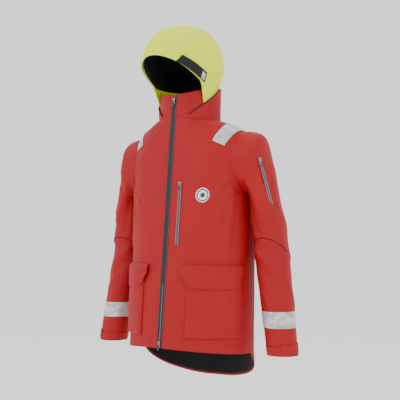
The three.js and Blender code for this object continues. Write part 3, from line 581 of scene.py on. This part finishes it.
def inner_collar(u, v, out):
    angle = lerp(22.0, 338.0, u)
    turned = np.minimum(angle, 360 - angle)
    top = lerp(62.0, 80.0, np.clip(turned / 60, 0, 1))
    height = lerp(neck_seam(turned) - 2, top, v)
    inset = lerp(2.2, 9.0, smooth(v * 4))
    return collar(angle, height, -inset - 1.0 + out)


piece = cloth_mesh("inner_collar_cloth", inner_collar, 120, 24, thick=1.0)
finish_piece(piece, black_lining, "jacket", ["inner_collar"])


# The loop's own tape: a flat ribbon along its U, from one foot to the other.
def loop_path(t):
    half, foot, radius = 30.0, 7.2, 2.5
    corners = [(-half, foot), (-half, radius), (-half + radius, 0),
               (half - radius, 0), (half, radius), (half, foot)]
    spans = [np.hypot(b[0] - a[0], b[1] - a[1]) for a, b in zip(corners, corners[1:])]
    marks = np.concatenate([[0], np.cumsum(spans)]) / sum(spans)
    return np.interp(t, marks, [c[0] for c in corners]), np.interp(t, marks, [c[1] for c in corners])


def loop_tape(u, v, out):
    x, y = loop_path(u)
    x_on, y_on = loop_path(np.minimum(u + 0.01, 1))
    x_back, y_back = loop_path(np.maximum(u - 0.01, 0))
    along = unit(stack(x_on - x_back, y_on - y_back, 0 * x))
    shift = out - 0.9
    return stack(x + along[..., 1] * shift, y - along[..., 0] * shift, lerp(0.0, 9.0, v))


piece = cloth_mesh("hang_loop_tape", loop_tape, 60, 6, thick=1.8)
finish_piece(piece, binding, "jacket", ["hang_loop"])

# %% [markdown]
# ## Hood
#
# The hood's form is a long dome. Each line from its top to its lower edge stops at the face opening, and the
# cloth behind the cheeks goes down inside the collar's wrap.

# %% Hood surface
PEAK_TIP_Y = HOOD_Y - 216
FACE_Y = NECK_Y - 66
CHEEK_Y = PEAK_TIP_Y + 48


def opening_height(y):
    return np.interp(y, [PEAK_TIP_Y, CHEEK_Y, FACE_Y, FACE_Y + 0.5], [170.0, 148.0, 97.6, HOOD_BASE])


def hood_form(theta, drop, out):
    a = np.radians(theta)
    over = np.clip(drop, 0, 1) * math.pi / 2
    below = np.clip(drop - 1, 0, 1)
    forward = np.cos(a)
    reach = np.where(forward > 0, 216.0, lerp(114.0, 91.0, below)) + out
    half_width = lerp(112.0, 97.0, below) + out
    wide = np.sin(over)
    z = np.where(drop <= 1, 160 + (139 + out) * np.cos(over), lerp(160.0, HOOD_BASE, below))
    return stack(half_width * wide * np.sin(a), HOOD_Y - reach * wide * forward, z)


def hood_edges(theta):
    drops = np.linspace(0.2, 2.0, 721)
    found = []
    for t in theta:
        line = hood_form(np.full_like(drops, t), drops, 0.0)
        inside = line[:, 2] < opening_height(line[:, 1])
        found.append(drops[np.argmax(inside)] if inside.any() else 2.0)
    return np.array(found)


HOOD_THETA = np.linspace(0, 360, 241)
HOOD_EDGE = hood_edges(HOOD_THETA)
HOOD_EDGE_LONG = np.concatenate([HOOD_EDGE[-7:-1], HOOD_EDGE, HOOD_EDGE[1:7]])
HOOD_EDGE_SOFT = np.convolve(HOOD_EDGE_LONG, np.ones(3) / 3, "same")[6:-6]


def hood_relief(theta, drop, at):
    side = np.abs(at[..., 0])
    seam = -1.1 * np.exp(-((side - 40) / 1.8) ** 2) * smooth((at[..., 2] - 150) / 30)
    seam = seam - 1.0 * np.exp(-((at[..., 1] - PEAK_TIP_Y - 34) / 1.8) ** 2)
    soft = 1.9 * ripple(at[..., 0], at[..., 1] + at[..., 2], 120, 3.3)
    soft = soft + 0.7 * ripple(at[..., 1], at[..., 2], 45, 0.8)
    front = smooth((at[..., 1] - PEAK_TIP_Y) / 30)
    hollow = folds(at[..., 1], at[..., 2], [
        (-215, 205, -130, 120, 9, 3.2), (-180, 215, -100, 150, 10, -2.8), (-60, 180, -20, 110, 14, -3.0),
        (-150, 250, -60, 230, 12, 2.0)]) * smooth((side - 25) / 40)
    return seam + (soft + hollow) * front


def hood(theta, drop, out):
    at = hood_form(theta, drop, 0.0)
    around = hood_form(theta + 1, drop, 0.0) - hood_form(theta - 1, drop, 0.0)
    down = hood_form(theta, drop + 0.01, 0.0) - hood_form(theta, np.maximum(drop - 0.01, 0), 0.0)
    normal = unit(np.cross(down, around))
    level_top = (drop < 0.02)[..., None]
    normal = np.where(level_top, np.array([0.0, 0.0, 1.0]), normal)
    return at + normal * (out + hood_relief(theta, drop, at))[..., None]


HOOD_ROWS = 70
SKIRT_ROWS = 8


def hood_place(shift):
    def place(u, v, out):
        theta = u * 360
        edge = np.interp(theta, HOOD_THETA, HOOD_EDGE_SOFT)
        rows = v * (HOOD_ROWS + SKIRT_ROWS) / HOOD_ROWS
        on_form = hood(theta, edge * np.clip(rows, 0, 1), out + shift)
        skirt = np.clip((rows - 1) * HOOD_ROWS / SKIRT_ROWS, 0, 1)
        turned = np.minimum(theta, 360 - theta)
        side = np.where(theta <= 180, 1, -1)
        phi = lerp(CHIN_GUARD_END_ANGLE, 180.0, np.clip((turned - 71.6) / (180 - 71.6), 0, 1))
        deep = np.maximum(stow_top(phi) - lerp(6.0, 22.0, smooth((phi - 60) / 60)), 28)
        target = collar(side * phi, deep, shift + out - 0.9)
        tucked = smooth((turned - 68) / 4)
        amount = (smooth(skirt) * tucked)[..., None]
        return on_form * (1 - amount) + target * amount
    return place


hood_shell = cloth_mesh("hood_shell_cloth", hood_place(-CLOTH), 240, HOOD_ROWS + SKIRT_ROWS, wrap=True)
finish_piece(hood_shell, yellow_shell, "hood",
             ["hood_peak", "hood_crown_panel", "hood_left_panel", "hood_right_panel"])

# %% Hood lining and tabs
def lining_place(u, v, out):
    return hood_place(-CLOTH - 2.0)(u, v * 0.86, out)


piece = cloth_mesh("hood_lining_cloth", lining_place, 160, 50, thick=1.0, wrap=True)
finish_piece(piece, black_lining, "hood", ["hood_lining"])


# A patch on the hood's cheek, from an outline's four corners in the side view, as (y, z).
def cheek_patch(side, corners, stand):
    def place(u, v, out):
        low = np.stack([lerp(corners[0][k], corners[1][k], u) for k in (0, 1)], -1)
        high = np.stack([lerp(corners[3][k], corners[2][k], u) for k in (0, 1)], -1)
        y, z = (lerp(low[..., k], high[..., k], v) for k in (0, 1))
        below = np.clip((160 - z) / (160 - HOOD_BASE), 0, 1)
        rise = np.clip((z - 160) / 139, 0, 1)
        shrink = np.sqrt(np.clip(1 - rise ** 2 - ((HOOD_Y - y) / 216) ** 2, 0.01, 1))
        x = lerp(112.0, 97.0, below) * shrink
        tilt = unit(stack(x / 112 ** 2, (y - HOOD_Y) / 216 ** 2, np.where(z > 160, (z - 160) / 139 ** 2, 0)))
        at = stack(x, y, z) + tilt * (stand + np.asarray(out) + 0 * x)[..., None]
        return at * np.array([side, 1, 1])
    return place


TAB = [(CHEEK_Y - 9, 151), (FACE_Y + 3, 101), (FACE_Y + 7, 131), (CHEEK_Y + 8, 172)]
GLINT = [(FACE_Y - 17, 112), (FACE_Y - 2, 105), (FACE_Y + 1, 126), (FACE_Y - 14, 134)]
for name, side in (("left", 1), ("right", -1)):
    piece = cloth_mesh(name + "_hood_tab_cloth", cheek_patch(side, TAB, 1.6), 30, 8, thick=1.6)
    finish_piece(piece, binding, "hood", [name + "_hood_tab"])
    # painted highlight: a silver patch on each black hood tab stands in for a glint of light
    patch = cloth_mesh(name + "_hood_tab_painted_glint", cheek_patch(side, GLINT, 3.3), 8, 8, thick=0.3)
    finish_piece(patch, silver_tape_and_painted_glint, "hood", [])

# %% [markdown]
# ## Sleeves
#
# The head of each sleeve starts inside the armhole, and the elbow seam slants up at the front, as the sleeve's
# solid does. The forearm's cloth is baked in place and attached to no body.

# %% Sleeve surfaces
def catmull(points, v):
    points = np.asarray(points, float)
    last = len(points) - 1
    spot = np.clip(v, 0, 1) * last
    i = np.minimum(np.floor(spot).astype(int), last - 1)
    w = (spot - i)[..., None]
    p0, p1 = points[np.maximum(i - 1, 0)], points[i]
    p2, p3 = points[i + 1], points[np.minimum(i + 2, last)]
    t0, t1 = (p2 - p0) / 2, (p3 - p1) / 2
    return (2 * p1 - 2 * p2 + t0 + t1) * w ** 3 + (-3 * p1 + 3 * p2 - 2 * t0 - t1) * w ** 2 + t0 * w + p1


def on_barrel(degrees):
    a = math.radians(degrees)
    return (ARMHOLE_X + ARMHOLE_RADIUS * math.cos(a), ARMHOLE_HEIGHT + ARMHOLE_RADIUS * math.sin(a))


OUTER_EDGE = [on_barrel(94), on_barrel(72), on_barrel(54), (272, -112), (281, -150), (289, -200),
              (302, -265), (319, -345), (332.1, -430)]
INNER_EDGE = [(201, -244), (205, -246), (209, -248), (214, -250), (217, -254),
              (219, -262), (219, -300), (219, -365), (219.9, -430)]


def sleeve_relief(side, around, z):
    x = around * 58
    seed = 1.1 if side > 0 else 5.2
    soft = 2.0 * ripple(x, z * 0.7, 120, seed) + 0.8 * ripple(x, z, 52, seed + 2)
    broad = folds(x, z, [
        (30, -150, 96, -235, 20, -3.6), (-10, -175, 34, -300, 24, 4.0), (120, -205, 70, -330, 15, 4.2),
        (20, -330, 95, -372, 16, -3.0), (10, -300, -60, -380, 20, 3.2), (130, -270, 105, -380, 13, -3.2),
        (40, -400, 110, -392, 9, 2.4), (-40, -440, 20, -470, 14, 2.4), (120, -430, 60, -480, 12, 3.6),
        (130, -470, 40, -540, 12, -3.0), (30, -500, -30, -600, 18, 3.0), (110, -560, 70, -690, 14, 2.8),
        (-60, -560, -90, -680, 18, 3.0), (0, -670, 60, -700, 9, 1.8)])
    flat = np.exp(-((around - 0.42) / 0.24) ** 2) * smooth((-z - 115) / 25) * smooth((z + 320) / 25)
    still = 1 - flat * (side > 0)
    return (soft + broad) * lerp(1.0, 0.35, smooth((-z - 590) / 30)) * still - 1.2 * flat * (side > 0)


def around_from(u):
    return (u * 2 - 1) * math.pi


def upper_sleeve(side):
    def place(u, v, out):
        around = around_from(u)
        tuck = np.clip(1 - v / 0.06, 0, 1)
        along = np.clip((v - 0.06) / 0.94, 0, 1)
        outer, inner = catmull(OUTER_EDGE, along), catmull(INNER_EDGE, along)
        across = outer - inner
        half = np.linalg.norm(across, axis=-1) / 2
        across = unit(across)
        middle = (outer + inner) / 2
        depth = lerp(SLEEVE_HEAD_HALF_DEPTH, 61.3, np.clip((along - 0.1) / 0.9, 0, 1))
        y = BODY_Y + 18 * np.clip((along - 0.45) / 0.55, 0, 1)
        rise = np.maximum(0, np.sin(around)) * depth
        lift = rise * math.tan(math.radians(ELBOW_SLANT)) * smooth((along - 0.62) / 0.38)
        sweep = 28 * np.abs(np.sin(around)) * np.clip(1 - along / 0.25, 0, 1)
        z = middle[..., 1] + across[..., 1] * half * np.cos(around)
        relief = sleeve_relief(side, around, z + lift) * smooth((along - 0.04) / 0.14)
        grow = out - CLOTH + relief - 13 * tuck
        reach = across[..., 0] * (half + grow) * np.cos(around)
        return stack(side * (middle[..., 0] - sweep - 24 * tuck + reach),
                     y - (depth + grow) * np.sin(around),
                     middle[..., 1] + across[..., 1] * (half + grow) * np.cos(around) + lift)
    return place


def forearm(side, around, z, out, calm=0.0):
    t = np.clip((ELBOW[2] - z) / (ELBOW[2] - CUFF_END_HEIGHT), 0, 1)
    middle = lerp(ELBOW[0], 330.0, t ** 0.9)
    half, depth = lerp(54.0, 48.0, t), lerp(58.0, 47.0, t)
    relief = sleeve_relief(side, around, z) * (1 - calm)
    ease = 1.6 * smooth((z + 470) / 40)
    grow = out + relief + ease
    return stack(side * (middle + (half + grow) * np.cos(around)),
                 ELBOW[1] - 28 * t - (depth + grow) * np.sin(around), z)


def elbow_seam(around):
    return ELBOW[2] + np.maximum(0, np.sin(around)) * 61.3 * math.tan(math.radians(ELBOW_SLANT))


def lower_sleeve(side):
    def place(u, v, out):
        around = around_from(u)
        top = elbow_seam(around) + 9
        z = lerp(top, CUFF_SEAM, v)
        tuck = -3.4 * smooth((z - elbow_seam(around) + 3) / 5)
        return forearm(side, around, z, out - CLOTH + tuck)
    return place


def forearm_ring(side, top, bottom, stand, narrowing=0.0):
    def place(u, v, out):
        return forearm(side, around_from(u), lerp(top, bottom, v), stand + out - narrowing * v)
    return place


# %% Sleeve pieces
for name, side in (("left", 1), ("right", -1)):
    arm, lower = name + "_arm", name + "_forearm"
    piece = cloth_mesh(name + "_upper_sleeve_cloth", upper_sleeve(side), 130, 130, wrap=True)
    finish_piece(piece, red_shell, arm, [name + "_upper_sleeve"])
    piece = cloth_mesh(name + "_lower_sleeve_cloth", lower_sleeve(side), 110, 110, wrap=True)
    finish_piece(piece, red_shell, None, [name + "_lower_sleeve"])
    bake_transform(piece)
    piece = cloth_mesh(name + "_cuff_band_cloth",
                       forearm_ring(side, CUFF_SEAM + 1, CUFF_END_HEIGHT, -CLOTH + 0.5),
                       110, 14, thick=2.2, wrap=True)
    finish_piece(piece, red_shell, lower, [name + "_cuff_band"])
    piece = cloth_mesh(name + "_wrist_seal_cloth",
                       forearm_ring(side, CUFF_SEAM + 26, CUFF_SEAM - 14, -CLOTH - 1.4, 11),
                       80, 14, thick=1.0, wrap=True)
    finish_piece(piece, black_lining, lower, [name + "_wrist_seal"])
    piece = cloth_mesh(name + "_forearm_band_cloth",
                       forearm_ring(side, FOREARM_BAND_TOP, FOREARM_BAND_BOTTOM, 0.3), 110, 14, thick=0.9, wrap=True)
    finish_piece(piece, silver_tape_and_painted_glint, lower, [name + "_forearm_band"])


# The tab's free end is rounded and points to the front.
def cuff_tab(side):
    def place(u, v, out):
        around = np.radians(lerp(-45.0, 67.5, u))
        taper = 3.5 * smooth((u - 0.9) / 0.1) ** 2
        z = lerp(CUFF_SEAM - 18 + taper, CUFF_SEAM + 8 - taper, v)
        return forearm(side, around, z, 0.9 + out)
    return place


# A smooth shell behind each armhole, which turns with the arm and closes the armpit when the arm is up.
def gusset(side):
    def place(u, v, out):
        a = np.radians(lerp(-88.0, -168.0, u))
        reach = 95.5 + out
        return stack(side * (ARMHOLE_X + reach * np.cos(a)), BODY_Y + lerp(-66.0, 66.0, v),
                     ARMHOLE_HEIGHT + reach * np.sin(a))
    return place


for name, side in (("left", 1), ("right", -1)):
    piece = cloth_mesh(name + "_cuff_tab_cloth", cuff_tab(side), 60, 14, thick=1.8)
    finish_piece(piece, red_shell, name + "_cuff_strap", [name + "_cuff_tab"])
    piece = cloth_mesh(name + "_underarm_gusset", gusset(side), 40, 20, thick=1.2)
    finish_piece(piece, red_shell, name + "_arm", [])

# %% [markdown]
# ## Reflective bands over the shoulders

# %% Shoulder bands
def band_line(run):
    return lerp(47.0, 133.0, run), 1.43 + 0.35 * np.sin(math.pi * np.clip(run, 0, 1)) ** 0.8


def shoulder_band(side, stand=1.2, half_width=21.0, first=0.0, last=1.0):
    def place(u, v, out):
        run = lerp(first, last, u)
        angle, crest = band_line(run)
        later, before = (band_line(np.clip(run + step, 0.0, 1.0)) for step in (0.02, -0.02))
        along = ring(side * later[0], later[1]) - ring(side * before[0], before[1])
        round_way = ring(side * (angle + 1), crest) - ring(side * (angle - 1), crest)
        up_way = (ring(side * angle, crest + 0.01) - ring(side * angle, crest - 0.01)) * 50
        square = unit(np.cross(np.cross(round_way, up_way), along)) * 2 * half_width
        square = square * np.sign(np.sum(square * up_way, -1, keepdims=True) + 1e-9)
        rr, uu = np.sum(round_way * round_way, -1), np.sum(up_way * up_way, -1)
        ru = np.sum(round_way * up_way, -1)
        sr, su = np.sum(square * round_way, -1), np.sum(square * up_way, -1)
        whole = rr * uu - ru ** 2
        turn, lift = (sr * uu - su * ru) / whole * 2, (su * rr - sr * ru) / whole
        return body(side * (angle + (v - 0.5) * turn), crest + (v - 0.5) * lift, stand + out)
    return place


for name, side in (("left", 1), ("right", -1)):
    piece = cloth_mesh(name + "_shoulder_band_cloth", shoulder_band(side), 110, 16, thick=0.9)
    finish_piece(piece, silver_tape_and_painted_glint, "jacket", [name + "_shoulder_band"])

# %% [markdown]
# ## Zips
#
# Each zip has its own straight line. Points on it are given across, out and up, in mm, from its lower end.

# %% Zip lines
def zip_frame(top, bottom, outward):
    up = unit(np.asarray(top, float) - np.asarray(bottom, float))
    across = unit(np.cross(up, outward))
    return np.asarray(bottom, float), across, np.cross(across, up), up


def on_zip(line, across, out, up):
    origin, side, outward, along = line
    across, out, up = np.broadcast_arrays(across, out, up)
    return origin + across[..., None] * side + out[..., None] * outward + up[..., None] * along


def strip(line, low, high, start, end, stand):
    def place(u, v, out):
        return on_zip(line, lerp(low, high, u), stand + out, lerp(start, end, v))
    return place


def solid_box(name, line, across, out, up, material, round_off=0.4):
    low, high = (np.array([r[i] for r in (across, out, up)], float) for i in (0, 1))
    corners = [(x, y, z) for x in (low[0], high[0]) for y in (low[1], high[1]) for z in (low[2], high[2])]
    verts = [tuple(on_zip(line, *c) * MM) for c in corners]
    faces = [(0, 1, 3, 2), (4, 6, 7, 5), (0, 4, 5, 1), (2, 3, 7, 6), (0, 2, 6, 4), (1, 5, 7, 3)]
    mesh = bpy.data.meshes.new(name)
    mesh.from_pydata(verts, [], faces)
    made = bpy.data.objects.new(name, mesh)
    bpy.context.scene.collection.objects.link(made)
    made.data.materials.append(material)
    bevel = made.modifiers.new("soft_edges", "BEVEL")
    bevel.width = round_off * MM
    bevel.segments = 2
    return made


FRONT_OUT = np.array([0.0, -1.0, 0.0])
front_line = zip_frame(ZIP_TOP, ZIP_BOTTOM, FRONT_OUT)
ZIP_LENGTH = float(np.linalg.norm(ZIP_TOP - ZIP_BOTTOM))
print("front zip", round(ZIP_LENGTH, 1), "mm, across", front_line[1].round(3))

# %% Front zip
for name, side in (("left", 1), ("right", -1)):
    low, high = sorted((side * 0.15, side * 9.0))
    piece = cloth_mesh(name + "_zip_tape_cloth", strip(front_line, low, high, 2, ZIP_LENGTH - 2, -1.4),
                       6, 60, thick=1.2)
    finish_piece(piece, zip_tape, "jacket", [name + "_zip_tape"])
    line = [on_zip(front_line, side * 8.6, 0.3, up) for up in np.linspace(2, ZIP_LENGTH - 4, 40)]
    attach(edge_tube(name + "_zip_piping", line, 0.8, dark_piping), "jacket")
# painted reflection: the lowest 200 mm of the front zip's coil is grey metal where the dark coil catches the light;
# above it the coil is dark
for name, start, end, material in (("lower", 6, 200, zip_teeth_and_painted_reflection), ("upper", 200, ZIP_LENGTH - 6, dark_teeth)):
    line = [on_zip(front_line, 0.0, -0.4, up) for up in np.linspace(start, end, 40)]
    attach(edge_tube(name + "_zip_coil", line, 1.0, material), "jacket")
piece = cloth_mesh("inner_storm_flap_cloth", strip(front_line, -29, 29, 5, ZIP_LENGTH - 66, -8.4), 20, 60)
finish_piece(piece, red_shell, "jacket", ["inner_storm_flap"])


def put_slider(name, line, up, length, out=0.0):
    body_name = name + "_zip_slider"
    shell = solid_box(name + "_slider_body", line, (-4.5, 4.5), (out + 0.3, out + 4.3),
                      (up - 10, up + 10), die_cast, 1.6)
    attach(shell, body_name)
    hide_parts(name + "_slider")
    crown = solid_box(name + "_slider_crown", line, (-1.2, 1.2), (out + 4.0, out + 7.4),
                      (up + 0.5, up + 5.5), die_cast, 0.8)
    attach(crown, body_name)
    pull = solid_box(name + "_pull_tab", line, (-3, 3), (out + 4.9, out + 6.9),
                     (up + 6 - length, up - 1.2), pull_rubber, 0.9)
    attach(pull, name + "_zip_pull")
    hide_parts(name + "_pull")
    for side in (-1, 1):
        arm = solid_box(name + "_pull_arm", line, sorted((side * 1.8, side * 3.0)), (out + 5.0, out + 6.8),
                        (up - 2, up + 6), die_cast, 0.5)
        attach(arm, name + "_zip_pull")


put_slider("main", front_line, ZIP_LENGTH - 22, 24)
put_slider("bottom", front_line, 12, 24)
garage = solid_box("zip_garage_cloth", front_line, (-8, 8), (0.3, 2.0),
                   (ZIP_LENGTH - 11, ZIP_LENGTH - 1.5), red_shell, 0.6)
finish_piece(garage, red_shell, "jacket", ["zip_garage"])

# %% Pocket zips
def pocket_zip(name, top, bottom, outward, body_name):
    line = zip_frame(top, bottom, outward)
    length = float(np.linalg.norm(np.asarray(top) - np.asarray(bottom)))
    piece = cloth_mesh(name + "_zip_tape_cloth", strip(line, -4, 4, 0, length, 0.1), 6, 40, thick=1.1)
    finish_piece(piece, zip_tape, body_name, [name + "_pocket_zip_tape"])
    for side in (-1, 1):
        run = [on_zip(line, side * 3.9, 0.9, up) for up in np.linspace(0, length, 20)]
        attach(edge_tube(f"{name}_zip_piping_{side + 1}", run, 0.9, grey_piping), body_name)
    run = [on_zip(line, 0.0, 1.1, up) for up in np.linspace(2, length - 2, 20)]
    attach(edge_tube(name + "_zip_coil", run, 0.7, zip_teeth_and_painted_reflection), body_name)
    put_slider(name, line, length - 12, 20, out=1.3)


CHEST_ZIP_TOP = (33.59, -176.88, -209.96)
CHEST_ZIP_BOTTOM = (27.37, -189.45, -409.96)
SLEEVE_ZIP_TOP = (268.35, -93.93, -140.64)
SLEEVE_ZIP_BOTTOM = (300.04, -71.23, -285.11)
CHEST_OUT = (0.0747, -0.9954, 0.0596)
SLEEVE_OUT = (0.9095, -0.3995, 0.115)
pocket_zip("chest", CHEST_ZIP_TOP, CHEST_ZIP_BOTTOM, CHEST_OUT, "jacket")
pocket_zip("sleeve", SLEEVE_ZIP_TOP, SLEEVE_ZIP_BOTTOM, SLEEVE_OUT, "left_arm")

# %% [markdown]
# ## Pockets and badge

# %% Chest pocket and badge
def chest_bag(u, v, out):
    angle = lerp(23.0, 50.0, u)
    level = lerp(level_at(angle, -415.0), level_at(angle, -205.0), v)
    return body(angle, level, -CLOTH - 5.8 + out)


piece = cloth_mesh("chest_pocket_bag_cloth", chest_bag, 30, 40, thick=1.0)
finish_piece(piece, black_lining, "jacket", ["chest_pocket_bag"])

BADGE_ANGLE, BADGE_HEIGHT = 30.0, -255.0


def badge_ring(inner, outer, stand):
    def place(u, v, out):
        a = u * 2 * math.pi
        reach = lerp(inner, outer, v)
        angle = BADGE_ANGLE + reach * np.cos(a) / 3.45
        height = BADGE_HEIGHT + reach * np.sin(a)
        return body(angle, level_at(angle, height), stand + out)
    return place


def badge_part(name, inner, outer, stand, material, thick=0.8):
    made = cloth_mesh(name, badge_ring(inner, outer, stand), 64, 6, thick=thick, wrap=True)
    return finish_piece(made, material, "jacket", [])


badge = badge_part("badge_patch", 0.05, 22.6, 0.5, badge_cream, 1.0)
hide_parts("badge")
dark_ring = badge_part("badge_ring", 15.5, 19.6, 1.3, badge_dark, 0.4)
dark_disc = badge_part("badge_centre", 0.05, 8.0, 1.3, badge_dark, 0.4)

# %% Cargo pockets and flaps
FLAP_TOP, FLAP_BOTTOM, POCKET_BOTTOM = -470.0, -544.0, -700.0


def edge_fall(u, v, across, up):
    side = smooth(np.minimum(u, 1 - u) / across)
    end = smooth(np.minimum(v, 1 - v) / up)
    return side * end


def cargo_pocket(side):
    def place(u, v, out):
        angle = lerp(20.0, 75.0, u)
        level = lerp(level_at(angle, POCKET_BOTTOM), level_at(angle, FLAP_TOP - 6), v)
        fall = edge_fall(u, v, 0.035, 0.03)
        full = 5.4 * fall + 1.0 * ripple(angle * 3.3, level * 500, 90, 2.7) * fall
        return body(side * angle, level, 0.5 + full + out)
    return place


def pocket_flap(side):
    def place(u, v, out):
        corner = np.clip((0.62 - v) / 0.62, 0, 1)
        angle = lerp(14.0 + 9.0 * corner, 76.0 - 4.5 * corner, u)
        sag = 2.5 * np.sin(math.pi * u) * (1 - v)
        level = lerp(level_at(angle, FLAP_BOTTOM - sag), level_at(angle, FLAP_TOP), v)
        lie = (lerp(8.2, 1.2, smooth((v - 0.84) / 0.16)) + 0.9 * np.sin(math.pi * v)
               + 0.8 * np.sin(u * 9) * (1 - v))
        ends = 1 - smooth(np.minimum(u, 1 - u) / 0.03)
        return body(side * angle, level, lie - 0.9 * ends + out)
    return place


for name, side in (("left", 1), ("right", -1)):
    piece = cloth_mesh(name + "_cargo_pocket_cloth", cargo_pocket(side), 90, 90)
    finish_piece(piece, red_shell, "jacket", [name + "_cargo_pocket"])
    piece = cloth_mesh(name + "_pocket_flap_cloth", pocket_flap(side), 90, 40)
    finish_piece(piece, red_shell, name + "_flap", [name + "_pocket_flap"])

# %% Camera
camera_data = bpy.data.cameras.new("camera")
camera_data.lens = 70.9
camera_data.sensor_width = 36
camera_data.shift_x = -0.004
camera_data.shift_y = 0.075
camera_data.dof.use_dof = False
camera = bpy.data.objects.new("camera", camera_data)
bpy.context.scene.collection.objects.link(camera)
camera.location = (1.416, -2.227, -0.363)
camera.rotation_euler = (math.radians(90), 0, math.radians(32.45))
bpy.context.scene.camera = camera


def softbox(name, place, size, power, aim=(0, -0.05, -0.3)):
    light = bpy.data.lights.new(name, "AREA")
    light.shape = "RECTANGLE"
    light.size, light.size_y = size
    light.energy = power
    made = bpy.data.objects.new(name, light)
    bpy.context.scene.collection.objects.link(made)
    made.location = place
    made.rotation_euler = (Vector(aim) - Vector(place)).to_track_quat("-Z", "Y").to_euler()
    return made


softbox("key", (-0.9, -2.6, 1.5), (1.6, 1.6), 26)
softbox("fill", (2.6, -1.4, 0.6), (1.4, 2.2), 13)
softbox("top", (0.2, 0.2, 2.2), (2.0, 2.0), 14)

world = bpy.data.worlds.new("studio")
bpy.context.scene.world = world
world.use_nodes = True
world.node_tree.nodes["Background"].inputs["Color"].default_value = (1, 1, 1, 1)
world.node_tree.nodes["Background"].inputs["Strength"].default_value = 1.35

floor_mesh = bpy.data.meshes.new("floor")
floor_corners = [(-30, -30, -1.2), (30, -30, -1.2), (30, 30, -1.2), (-30, 30, -1.2)]
floor_mesh.from_pydata(floor_corners, [], [(0, 1, 2, 3)])
floor = bpy.data.objects.new("floor", floor_mesh)
bpy.context.scene.collection.objects.link(floor)
floor.data.materials.append(plain("pale_floor", "#ffffff", 0.9))
